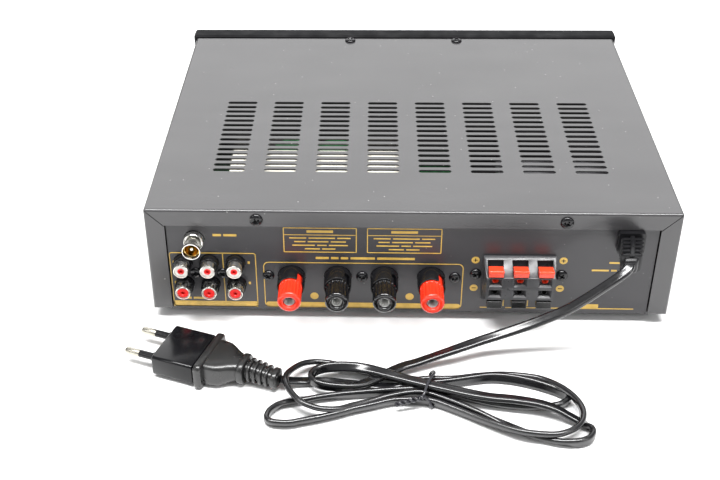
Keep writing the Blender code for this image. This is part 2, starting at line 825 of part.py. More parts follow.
def make_hank():
    """The tied bundle as one flat solid with round ends."""
    curve = bpy.data.curves.new("cord_hank", "CURVE")
    curve.dimensions = "2D"
    curve.fill_mode = "BOTH"
    curve.extrude = (HANK_HIGH - HANK_LOW) / 2 * MM
    curve.resolution_u = 2
    spline = curve.splines.new("BEZIER")
    spline.bezier_points.add(len(HANK_OUTLINE) - 1)
    for point, (x, out) in zip(spline.bezier_points, HANK_OUTLINE):
        point.co = (x * MM, (REAR + out) * MM, 0)
        point.handle_left_type = point.handle_right_type = "AUTO"
    spline.use_cyclic_u = True
    curve.materials.append(lead_pvc())
    hank = bpy.data.objects.new("cord_hank", curve)
    hank.location.z = (HANK_LOW + HANK_HIGH) / 2 * MM
    bpy.context.scene.collection.objects.link(hank)


def make_tie():
    """A wire tie round the bundle's waist."""
    near, far = REAR + 45.6, REAR + 71.2
    low, high = 0.1, HANK_HIGH + GAP + TIE_WIRE
    mesh_data = bmesh.new()
    half = TIE_WIRE / 2
    add_box(mesh_data, (TIE_X - half, near - TIE_WIRE, low), (TIE_X + half, far + TIE_WIRE, high))
    tie = finish("cord_tie", mesh_data, material("tie_wire", (0.03, 0.03, 0.03), 0.4))
    inside = bmesh.new()
    low_inside, high_inside = low + TIE_WIRE, high - TIE_WIRE
    add_box(inside, (TIE_X - 5, near, low_inside), (TIE_X + 5, far, high_inside))
    combine(tie, cutter("tie_inside", inside), "DIFFERENCE")


def plug_place():
    """Local +X runs along the plug from the pins to the lead, local +Z is up."""
    x, out, z = PLUG_START
    turn = Matrix.Rotation(math.radians(PLUG_TURN), 4, "Z")
    return Matrix.Translation((x, REAR + out, z)) @ turn


def loft(name, stations, finish_material):
    """Joins rectangular sections (distance along the plug, width, height) into one solid."""
    place = plug_place()
    mesh_data = bmesh.new()
    rings = []
    for along, width, height in stations:
        corner = min(width, height) * 0.25
        half_w, half_h = width / 2, height / 2
        outline = [
            (half_w, half_h - corner),
            (half_w - corner, half_h),
            (corner - half_w, half_h),
            (-half_w, half_h - corner),
            (-half_w, corner - half_h),
            (corner - half_w, -half_h),
            (half_w - corner, -half_h),
            (half_w, corner - half_h),
        ]
        ring = [mesh_data.verts.new(place @ Vector((along, a, b))) for a, b in outline]
        rings.append(ring)
    mesh_data.faces.new(rings[0])
    mesh_data.faces.new(rings[-1])
    for first, second in zip(rings, rings[1:]):
        for i in range(8):
            j = (i + 1) % 8
            mesh_data.faces.new((first[i], first[j], second[j], second[i]))
    return finish(name, mesh_data, finish_material)


def make_plug():
    """Flat mains plug: a wide flange, a waisted body, a thumb ridge and a ribbed tail."""
    stations = [
        (26.5, 29.0, 15.0),
        (30.2, 29.0, 15.0),
        (30.2 + 0.01, 22.5, 13.2),
        (37.0, 21.5, 13.0),
        (44.0, 13.0, 11.4),
        (46.0, 12.4, 11.0),
        (46.01, 14.6, 13.0),
        (49.4, 14.6, 13.0),
        (49.41, 11.4, 11.2),
    ]
    ribs = 5
    start, pitch = 51.6, 3.1
    for rib in range(ribs):
        along = start + rib * pitch
        size = 11.4 - 0.42 * rib
        stations.append((along, size, size - 0.2))
        stations.append((along + 0.01, size - 2.6, size - 2.6))
        stations.append((along + 1.4, size - 2.6, size - 2.6))
        stations.append((along + 1.41, size - 0.3, size - 0.5))
    stations.append((67.0, 9.0, 8.8))
    loft("mains_plug", stations, lead_pvc())


def make_adapter():
    """Travel adapter pushed on the plug, with two round pins."""
    length, width, height = ADAPTER
    stations = [
        (0.0, width - 1.2, height - 1.2),
        (0.6, width, height),
        (length, width, height),
        (length + 0.6, width - 1.2, height - 1.2),
    ]
    loft("plug_adapter", stations, lead_pvc())
    place = plug_place()
    for number, side in enumerate((-1, 1), start=1):
        at = place @ Vector((-GAP, side * PIN_SPACING / 2, 0))
        direction = place.to_3x3() @ Vector((-1, 0, 0))
        profile = [(0, 0), (PIN_R, 0), (PIN_R, PIN_L - 1.6), (PIN_R * 0.5, PIN_L), (0, PIN_L)]
        turned(f"adapter_pin_{number}", profile, plated(), direction, at, 16)


# ---------------------------------------------------------------- inside
def make_transformer():
    """Mains transformer: a laminated ring core with its winding through the window."""
    middle = Vector((-84.0, REAR - 62.0, BASE + 26.5))
    half = Vector((33.0, 14.0, 25.0))
    mesh_data = bmesh.new()
    add_box(mesh_data, middle - half, middle + half)
    core = finish("transformer_core", mesh_data, material("laminations", (0.16, 0.16, 0.17), 0.5, 0.6))
    window = bmesh.new()
    add_box(window, middle - Vector((20, 30, 13)), middle + Vector((20, 30, 13)))
    combine(core, cutter("transformer_window", window), "DIFFERENCE")
    coil = bmesh.new()
    add_box(coil, middle - Vector((19, 22, 12.6)), middle + Vector((19, 22, 12.6)))
    winding = finish("transformer_coil", coil, material("winding_tape", (0.75, 0.62, 0.12), 0.5))
    bevelled(winding, 2.0)


def make_boards():
    board_green = material("board", (0.03, 0.16, 0.06), 0.5)
    plate = bmesh.new()
    low = BASE + 6.0
    add_box(plate, (-40, REAR - 170, low), (125, REAR - 22, low + 1.6))
    board = finish("main_board", plate, board_green)
    cans = bmesh.new()
    for x, y in ((42.0, REAR - 100.0), (68.0, REAR - 100.0)):
        add_prism(cans, circle(11, 16, (x, y)), 2, low + 0.5, BASE + 46)
    for x in (-34.0, 119.0):
        for y in (REAR - 164.0, REAR - 28.0):
            add_prism(cans, circle(3, 8, (x, y)), 2, BASE + SHEET + GAP, low + 0.5)
    combine(board, cutter("cans_and_legs", cans), "UNION")
    control = bmesh.new()
    add_box(control, (-130, FRONT + 8.6, BASE + SHEET + GAP), (130, FRONT + 10.2, BASE + 52))
    finish("control_board", control, board_green)


def make_heatsink():
    """Finned aluminium extrusion, its flat back uppermost under the vents."""
    near, far = REAR - 72.0, REAR - 30.0
    bottom, top = BASE + 7.9, BASE + 60.0
    fins, first, pitch, thick = 11, 4.0, 9.4, 1.8
    outline = [(first, top), (first, bottom)]
    for fin in range(fins):
        left = first + fin * pitch
        outline += [(left + thick, bottom), (left + thick, top - 3.5)]
        if fin < fins - 1:
            outline += [(left + pitch, top - 3.5), (left + pitch, bottom)]
    outline[-1] = (first + (fins - 1) * pitch + thick, top)
    mesh_data = bmesh.new()
    add_prism(mesh_data, outline, 1, near, far)
    finish("heatsink", mesh_data, material("heatsink_aluminium", (0.7, 0.7, 0.7), 0.45, 1.0))


# ---------------------------------------------------------------- fasteners
def make_cover_screws():
    """Pan-head screws: two through the cover's rear flange, two through its top at the front."""
    profile = [(0, 0.3), (3.3, 0.3), (3.1, 1.2), (2.2, 1.9), (0, 2.1)]
    flange_z = TOP - FLANGE / 2 - 0.6
    places = [
        ((80.6, REAR, flange_z), (0, 1, 0)),
        ((-80.6, REAR, flange_z), (0, 1, 0)),
        ((35.5, FRONT + 5.0, TOP), (0, 0, 1)),
        ((-35.5, FRONT + 5.0, TOP), (0, 0, 1)),
    ]
    for number, (at, direction) in enumerate(places, start=1):
        turned(f"cover_screw_{number}", profile, screw_steel(), direction, at, 16)


def main():
    for old in list(bpy.data.objects):
        bpy.data.objects.remove(old)
    make_cover()
    make_tray()
    make_rear_panel()
    make_front_panel()
    make_feet()
    make_knobs()
    make_power_button()
    make_small_buttons()
    make_window()
    make_mic_jack()
    make_usb_port()
    make_phono_sockets()
    make_aerial_socket()
    make_binding_posts()
    make_clip_block()
    make_clip_levers()
    make_relief()
    make_lead()
    make_hank()
    make_tie()
    make_plug()
    make_adapter()
    make_transformer()
    make_boards()
    make_heatsink()
    make_cover_screws()


main()
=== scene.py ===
"""Looks for the compact power amplifier: its visible surface, materials, light and camera.

Lengths are in millimetres in the CAD's own frame, and the mesh helpers turn them into
metres. "out" is the distance behind the case's rear face, towards the camera.
"""

import math

import bmesh
import bpy
from mathutils import Matrix, Vector


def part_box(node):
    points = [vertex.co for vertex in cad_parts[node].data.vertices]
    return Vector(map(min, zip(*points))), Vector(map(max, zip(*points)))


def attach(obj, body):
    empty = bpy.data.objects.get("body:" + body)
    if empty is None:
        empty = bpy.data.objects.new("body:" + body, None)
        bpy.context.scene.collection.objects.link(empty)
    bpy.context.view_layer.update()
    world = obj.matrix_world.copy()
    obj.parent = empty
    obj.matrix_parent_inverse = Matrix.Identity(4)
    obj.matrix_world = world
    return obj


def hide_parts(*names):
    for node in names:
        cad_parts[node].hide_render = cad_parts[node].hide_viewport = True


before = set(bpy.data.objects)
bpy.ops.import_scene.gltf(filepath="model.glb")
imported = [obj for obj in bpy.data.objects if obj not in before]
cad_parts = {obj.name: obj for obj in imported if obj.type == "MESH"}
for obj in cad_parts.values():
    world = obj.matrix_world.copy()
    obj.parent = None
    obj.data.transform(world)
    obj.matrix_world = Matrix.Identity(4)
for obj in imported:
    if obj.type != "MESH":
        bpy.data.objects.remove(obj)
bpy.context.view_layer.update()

MM = 0.001
BODY = "amplifier"


def node_box(node):
    """Lowest and highest corner of a CAD node, in millimetres."""
    return [Vector(corner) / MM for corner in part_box(node)]


def face_middle(node):
    """x and z of the middle of a CAD node."""
    low, high = node_box(node)
    return (low.x + high.x) / 2, (low.z + high.z) / 2


COVER_LOW, COVER_HIGH = node_box("top_cover")
REAR = COVER_HIGH.y
TOP = COVER_HIGH.z
BASE = node_box("chassis_tray")[0].z
PANEL_OUTER = REAR - 1.3
FRONT_LOW, FRONT_HIGH = node_box("front_panel")
FACE = FRONT_LOW.y


def at(x, out, z):
    """A point from its x, its distance behind the rear face, and its height."""
    return Vector((x, REAR + out, z))


# ---------------------------------------------------------------- camera and light
CAMERA_TARGET = (48.5, 0.0, 64.0)
CAMERA_DISTANCE = 597.5
CAMERA_AZIMUTH, CAMERA_ELEVATION, CAMERA_ROLL = -3.148, 33.365, -1.180
CAMERA_LENS = 57.24
CAMERA_SHIFT = (0.0591, -0.0240)


def make_camera():
    azimuth, elevation, roll = (
        math.radians(a) for a in (CAMERA_AZIMUTH, CAMERA_ELEVATION, CAMERA_ROLL)
    )
    back = Vector(
        (
            math.sin(azimuth) * math.cos(elevation),
            math.cos(azimuth) * math.cos(elevation),
            math.sin(elevation),
        )
    )
    level_right = (-back).cross(Vector((0, 0, 1))).normalized()
    level_up = level_right.cross(-back)
    right = math.cos(roll) * level_right + math.sin(roll) * level_up
    up = -math.sin(roll) * level_right + math.cos(roll) * level_up
    camera = bpy.data.objects.new("camera", bpy.data.cameras.new("camera"))
    turn = Matrix((right, up, back)).transposed().to_4x4()
    place = (at(*CAMERA_TARGET) + CAMERA_DISTANCE * back) * MM
    camera.matrix_world = Matrix.Translation(place) @ turn
    camera.data.lens = CAMERA_LENS
    camera.data.sensor_width = 36.0
    camera.data.shift_x, camera.data.shift_y = CAMERA_SHIFT
    camera.data.clip_start = 0.01
    bpy.context.scene.collection.objects.link(camera)
    bpy.context.scene.camera = camera


def area_light(name, location, target, size, radiance):
    """A rectangular soft box in metres, given by how bright its face is."""
    light = bpy.data.lights.new(name, "AREA")
    light.shape = "RECTANGLE"
    light.size, light.size_y = size
    light.energy = radiance * math.pi * size[0] * size[1]
    lamp = bpy.data.objects.new(name, light)
    direction = Vector(target) - Vector(location)
    lamp.matrix_world = Matrix.Translation(location) @ (
        direction.to_track_quat("-Z", "Y").to_matrix().to_4x4()
    )
    bpy.context.scene.collection.objects.link(lamp)


def make_light():
    world = bpy.data.worlds.new("studio")
    world.use_nodes = True
    background = world.node_tree.nodes["Background"]
    background.inputs["Color"].default_value = (1.0, 1.0, 1.0, 1.0)
    background.inputs["Strength"].default_value = 0.42
    bpy.context.scene.world = world
    bpy.context.scene.view_settings.view_transform = "Standard"
    area_light("back_box", (0.1, -1.5, 1.15), (0, 0, 0.05), (2.6, 1.3), 2.0)
    area_light("top_box", (0.0, 0.4, 1.5), (0, 0.1, 0.05), (1.6, 0.35), 30.0)
    area_light("left_box", (1.3, 1.0, 0.9), (0, 0.1, 0.05), (0.5, 0.5), 4.0)
    area_light("right_box", (-1.3, 1.1, 0.9), (0, 0.1, 0.05), (0.5, 0.5), 5.5)


# ---------------------------------------------------------------- materials
def feed(node, inputs):
    """Sets a node's inputs, each to a fixed value or linked to the socket that feeds it."""
    for key, value in inputs.items():
        if isinstance(value, bpy.types.NodeSocket):
            node.id_data.links.new(value, node.inputs[key])
        else:
            node.inputs[key].default_value = value
    return node


def noise(nodes, place, scale, detail=3.0):
    inputs = {"Vector": place, "Scale": scale, "Detail": detail}
    return feed(nodes.new("ShaderNodeTexNoise"), inputs).outputs["Fac"]


def ramp(nodes, value, low, high, low_colour, high_colour):
    """Blends two colours as a value goes from low to high."""
    blend = feed(nodes.new("ShaderNodeValToRGB"), {"Fac": value})
    ends = zip(blend.color_ramp.elements, (low, high), (low_colour, high_colour))
    for element, position, colour in ends:
        element.position = position
        element.color = (*colour, 1.0)
    return blend.outputs["Color"]


def spread(nodes, value, low, high):
    """Maps a noise value, mostly 0.3 to 0.7, to a range."""
    inputs = {"Value": value, "From Min": 0.3, "From Max": 0.7, "To Min": low, "To Max": high}
    return feed(nodes.new("ShaderNodeMapRange"), inputs).outputs["Result"]


def surface(
    name, colour, roughness, metallic=0.0, mottle=0.12, patch=35.0, grain=900.0, bump=0.04,
    coat=0.0, specular=0.5, stretch=(1.0, 1.0, 1.0), gloss_drift=0.2,
):  # fmt: skip
    """A surface whose colour drifts in patches, and whose gloss and grain vary finely."""
    made = bpy.data.materials.new(name)
    made.use_nodes = True
    nodes = made.node_tree.nodes
    coordinates = nodes.new("ShaderNodeTexCoord").outputs["Object"]
    scaled = feed(nodes.new("ShaderNodeMapping"), {"Vector": coordinates, "Scale": stretch})
    place = scaled.outputs["Vector"]
    darker = tuple(c * (1 - mottle) for c in colour)
    lighter = tuple(min(1.0, c * (1 + mottle)) for c in colour)
    tint = ramp(nodes, noise(nodes, place, patch), 0.35, 0.65, darker, lighter)
    least, most = roughness * (1 - gloss_drift), roughness * (1 + gloss_drift)
    gloss = spread(nodes, noise(nodes, place, patch * 3.1), least, most)
    fine = noise(nodes, place, grain, detail=2.0)
    relief = {"Height": fine, "Strength": bump, "Distance": 0.0002}
    relief = feed(nodes.new("ShaderNodeBump"), relief).outputs["Normal"]
    shader = {"Base Color": tint, "Roughness": gloss, "Normal": relief, "Metallic": metallic}
    shader |= {"Coat Weight": coat, "Coat Roughness": 0.12, "Specular IOR Level": specular}
    feed(nodes["Principled BSDF"], shader)
    return made


def mix(nodes, factor, first, second, blend="MIX"):
    """Mixes two colours. `factor` and each colour are a value or a socket."""
    node = nodes.new("ShaderNodeMix")
    node.data_type = "RGBA"
    node.blend_type = blend
    return feed(node, {"Factor": factor, "A": first, "B": second}).outputs["Result"]


def dusty(name, colour, dust, roughness, specular=0.5):
    """Satin paint with faint smears and sparse pale specks of dust."""
    finish = {"mottle": 0.05, "patch": 9.0, "grain": 1600.0, "bump": 0.07, "gloss_drift": 0.04}
    made = surface(name, colour, roughness, specular=specular, **finish)
    nodes = made.node_tree.nodes
    place = nodes["Texture Coordinate"].outputs["Object"]
    smears = {"Vector": place, "Rotation": (0.0, 0.0, 0.6), "Scale": (14.0, 55.0, 20.0)}
    smears = feed(nodes.new("ShaderNodeMapping"), smears).outputs["Vector"]
    smear = noise(nodes, smears, 1.0, detail=2.0)
    smear = ramp(nodes, smear, 0.35, 0.85, (0, 0, 0), (0.04, 0.04, 0.04))
    specks = feed(nodes.new("ShaderNodeTexVoronoi"), {"Vector": place, "Scale": 130.0})
    specks = specks.outputs["Distance"]
    speck = ramp(nodes, specks, 0.035, 0.06, (0.55, 0.55, 0.55), (0, 0, 0))
    both = mix(nodes, 1.0, smear, speck, "ADD")
    amount = feed(nodes.new("ShaderNodeRGBToBW"), {"Color": both}).outputs["Val"]
    shader = nodes["Principled BSDF"]
    paint = shader.inputs["Base Color"].links[0].from_socket
    feed(shader, {"Base Color": mix(nodes, amount, paint, (*dust, 1.0))})
    return made


COVER_PAINT = dusty("cover_paint", (0.032, 0.031, 0.033), (0.30, 0.30, 0.29), 0.26, specular=0.75)
REAR_PAINT = dusty("rear_panel_paint", (0.030, 0.029, 0.032), (0.16, 0.16, 0.16), 0.30)
TRAY_PAINT = surface("tray_paint", (0.04, 0.04, 0.042), 0.45)
FRONT_GLOSS = surface(
    "front_moulding", (0.006, 0.006, 0.007), 0.55, mottle=0.2, bump=0.06, specular=0.08
)
FOOT_RUBBER = surface("rubber", (0.022, 0.022, 0.022), 0.75, bump=0.25)
WINDOW = surface("smoked_window", (0.006, 0.008, 0.014), 0.06, mottle=0.3, bump=0.005, coat=1.0)
SATIN_METAL = surface(
    "spun_aluminium", (0.60, 0.60, 0.62), 0.28, metallic=1.0, mottle=0.06, grain=500, bump=0.1,
    stretch=(1.0, 6.0, 1.0),
)  # fmt: skip
STUD_TIN = surface("tin_plate", (0.90, 0.90, 0.88), 0.24, metallic=0.5, bump=0.02, patch=150)
PLATED = surface(
    "nickel_plate", (0.90, 0.89, 0.85), 0.20, metallic=1.0, mottle=0.06, patch=120, bump=0.02
)
PIN_METAL = surface(
    "pin_plate", (0.46, 0.44, 0.38), 0.3, metallic=1.0, mottle=0.08, patch=160, bump=0.05
)
GOLD_INK = surface("gold_ink", (0.56, 0.36, 0.065), 0.38, mottle=0.12, patch=220, bump=0.15)
JACK_BLACK = surface("jack_moulding", (0.006, 0.006, 0.007), 0.18, patch=90, bump=0.02)
CLIP_GREY = surface("clip_moulding", (0.036, 0.036, 0.039), 0.32, patch=90, bump=0.03)
BRASS = surface("brass_lining", (0.72, 0.50, 0.16), 0.22, metallic=1.0, patch=150)
RELIEF_BLACK = surface(
    "relief_moulding", (0.007, 0.007, 0.008), 0.34, patch=90, bump=0.12, specular=0.35
)
JACK_WHITE = surface("jack_white", (0.80, 0.79, 0.75), 0.35, patch=200, bump=0.05)
JACK_RED = surface("jack_red", (0.72, 0.020, 0.018), 0.3, patch=200, bump=0.05)
CAP_RED = surface(
    "cap_red", (0.80, 0.032, 0.010), 0.20, mottle=0.07, patch=70, bump=0.02, coat=0.35
)
CAP_BLACK = surface(
    "cap_black", (0.004, 0.004, 0.005), 0.12, mottle=0.08, patch=70, bump=0.01, coat=0.6
)
LEVER_RED = surface("lever_red_moulding", (0.80, 0.055, 0.018), 0.22, mottle=0.07, patch=90)
LEVER_BLACK = surface("lever_black_moulding", (0.006, 0.006, 0.006), 0.2, patch=90)
CORD_PVC = surface(
    "cord_pvc", (0.006, 0.006, 0.007), 0.22, mottle=0.25, patch=60, grain=700, bump=0.015,
    specular=0.8,
)  # fmt: skip
PLUG_PVC = surface("plug_pvc", (0.010, 0.010, 0.010), 0.30, patch=60, bump=0.08, specular=0.7)
ADAPTER_BLACK = surface(
    "adapter_moulding", (0.004, 0.004, 0.005), 0.20, patch=60, bump=0.02, specular=0.35
)
TIE_WIRE = surface("tie_coating", (0.03, 0.03, 0.035), 0.2, patch=150)
SCREW_BLACK = surface(
    "blackened_steel", (0.005, 0.005, 0.006), 0.16, metallic=0.0, patch=200, specular=0.45
)
LAMINATIONS = surface(
    "core_laminations", (0.20, 0.20, 0.21), 0.5, metallic=0.6, grain=40, bump=0.6,
    stretch=(1.0, 60.0, 1.0),
)  # fmt: skip
WINDING = surface("winding_tape_wrap", (0.70, 0.55, 0.10), 0.45, patch=60)
BOARD = surface("solder_mask", (0.02, 0.12, 0.04), 0.4, mottle=0.35, patch=160, bump=0.2)
SINK = surface("bare_extrusion", (0.80, 0.77, 0.68), 0.5, mottle=0.12, stretch=(1, 0.1, 1))


# ---------------------------------------------------------------- mesh helpers
def piece(name, mesh_data, material, slot, replaces=(), body=BODY, bevel=0.0, sharp=38):
    """Turns a bmesh in millimetres into a piece that rides on a body."""
    bmesh.ops.scale(mesh_data, verts=mesh_data.verts, vec=(MM, MM, MM))
    bmesh.ops.recalc_face_normals(mesh_data, faces=mesh_data.faces)
    mesh = bpy.data.meshes.new(name)
    mesh_data.to_mesh(mesh)
    mesh_data.free()
    made = bpy.data.objects.new(name, mesh)
    bpy.context.scene.collection.objects.link(made)
    mesh.materials.append(material)
    mesh.shade_smooth()
    mesh.set_sharp_from_angle(angle=math.radians(sharp))
    if bevel:
        soften(made, bevel)
    if name != "carver":
        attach(made, body)
        if replaces:
            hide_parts(*replaces)
    return made


def soften(made, width, segments=2, angle=30):
    """Rounds sharp edges, and keeps the flat faces flat in the shading."""
    edge = made.modifiers.new("edges", "BEVEL")
    edge.width = width * MM
    edge.segments = segments
    edge.limit_method = "ANGLE"
    edge.angle_limit = math.radians(angle)
    edge.harden_normals = True
    edge.use_clamp_overlap = True


def settle(made):
    """Applies a piece's modifiers to its mesh."""
    graph = bpy.context.evaluated_depsgraph_get()
    mesh = bpy.data.meshes.new_from_object(made.evaluated_get(graph), depsgraph=graph)
    made.modifiers.clear()
    made.data = mesh


def carve(made, mesh_data):
    """Cuts a bmesh out of a piece. The cutter's own parts don't touch each other."""
    carver = piece("carver", mesh_data, None, None)
    cut = made.modifiers.new("cut", "BOOLEAN")
    cut.operation = "DIFFERENCE"
    cut.object = carver
    cut.solver = "EXACT"
    settle(made)
    bpy.data.objects.remove(carver)
    made.data.shade_smooth()
    made.data.set_sharp_from_angle(angle=math.radians(38))


def add_box(mesh_data, low, high, place=Matrix()):
    low, high = Vector(low), Vector(high)
    shape = Matrix.Translation((low + high) / 2) @ Matrix.Diagonal((*(high - low), 1))
    bmesh.ops.create_cube(mesh_data, size=1, matrix=place @ shape)


def add_prism(mesh_data, outline, axis, start, end, place=Matrix()):
    """Extrudes a closed 2D outline along an axis, 0 for X, 1 for Y or 2 for Z."""

    def point(a, b, along):
        return place @ Vector({0: (along, a, b), 1: (a, along, b), 2: (a, b, along)}[axis])

    lower = [mesh_data.verts.new(point(a, b, start)) for a, b in outline]
    upper = [mesh_data.verts.new(point(a, b, end)) for a, b in outline]
    mesh_data.faces.new(lower)
    mesh_data.faces.new(reversed(upper))
    count = len(outline)
    for i in range(count):
        j = (i + 1) % count
        mesh_data.faces.new((lower[j], lower[i], upper[i], upper[j]))


def rounded_rectangle(low, high, radius, steps=6):
    """Outline of a rectangle with round corners, anticlockwise."""
    corners = [
        (high[0] - radius, high[1] - radius, 0),
        (low[0] + radius, high[1] - radius, 90),
        (low[0] + radius, low[1] + radius, 180),
        (high[0] - radius, low[1] + radius, 270),
    ]
    outline = []
    for a, b, start in corners:
        for step in range(steps + 1):
            angle = math.radians(start + 90 * step / steps)
            outline.append((a + radius * math.cos(angle), b + radius * math.sin(angle)))
    return outline


def add_rings(mesh_data, rings):
    """Joins rings of points by quads, and closes the two ends."""
    made = [[mesh_data.verts.new(point) for point in ring] for ring in rings]
    count = len(rings[0])
    for first, second in zip(made, made[1:]):
        for i in range(count):
            j = (i + 1) % count
            mesh_data.faces.new((first[i], first[j], second[j], second[i]))
    mesh_data.faces.new(reversed(made[0]))
    mesh_data.faces.new(made[-1])


def facing(direction, place):
    """Turns +Z to `direction` and moves it to `place`."""
    turn = Vector((0, 0, 1)).rotation_difference(Vector(direction))
    return Matrix.Translation(place) @ turn.to_matrix().to_4x4()


def add_lathe(mesh_data, profile, place, segments=48, flutes=0):
    """Turns (radius, height, flute depth) stations about +Z. A radius of 0 closes an end."""
    rings = []
    for station in profile:
        radius, height = station[0], station[1]
        depth = station[2] if len(station) > 2 else 0.0
        if radius == 0:
            rings.append([mesh_data.verts.new(place @ Vector((0, 0, height)))])
            continue
        ring = []
        for i in range(segments):
            angle = 2 * math.pi * i / segments
            dip = depth * (0.5 - 0.5 * math.cos(flutes * angle)) ** 0.7 if depth else 0.0
            reach = radius - dip
            point = Vector((reach * math.cos(angle), reach * math.sin(angle), height))
            ring.append(mesh_data.verts.new(place @ point))
        rings.append(ring)
    closed = len(rings[0]) > 1
    pairs = list(zip(rings, rings[1:]))
    if closed:
        pairs.append((rings[-1], rings[0]))
    for first, second in pairs:
        for i in range(segments):
            j = (i + 1) % segments
            if len(first) == 1:
                mesh_data.faces.new((first[0], second[i], second[j]))
            elif len(second) == 1:
                mesh_data.faces.new((first[i], second[0], first[j]))
            else:
                mesh_data.faces.new((first[i], second[i], second[j], first[j]))


def lathe(name, profile, material, slot, place, **options):
    """A turned piece. Options go to add_lathe or to piece."""
    shape = {k: options.pop(k) for k in ("segments", "flutes") if k in options}
    mesh_data = bmesh.new()
    add_lathe(mesh_data, profile, place, **shape)
    return piece(name, mesh_data, material, slot, **options)


def refined(node, name, material, slot, bevel, body=BODY, segments=2, tidy=True):
    """A CAD solid's own shape with its edges rounded."""
    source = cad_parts[node]
    mesh_data = bmesh.new()
    mesh_data.from_mesh(source.data)
    mesh_data.transform(source.matrix_world)
    bmesh.ops.remove_doubles(mesh_data, verts=mesh_data.verts, dist=0.00002)
    if tidy:
        bmesh.ops.dissolve_limit(
            mesh_data, angle_limit=math.radians(1.0), verts=mesh_data.verts, edges=mesh_data.edges
        )
    bmesh.ops.scale(mesh_data, verts=mesh_data.verts, vec=(1 / MM, 1 / MM, 1 / MM))
    made = piece(name, mesh_data, material, slot, replaces=(node,), body=body)
    if bevel:
        soften(made, bevel, segments=segments)
    return made


def plain(node, material):
    """Keeps a CAD node as it is, with a better material."""
    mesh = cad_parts[node].data
    mesh.materials.clear()
    mesh.materials.append(material)


# ---------------------------------------------------------------- mains lead
CORD_WIDTH, CORD_THICK = 5.6, 3.0
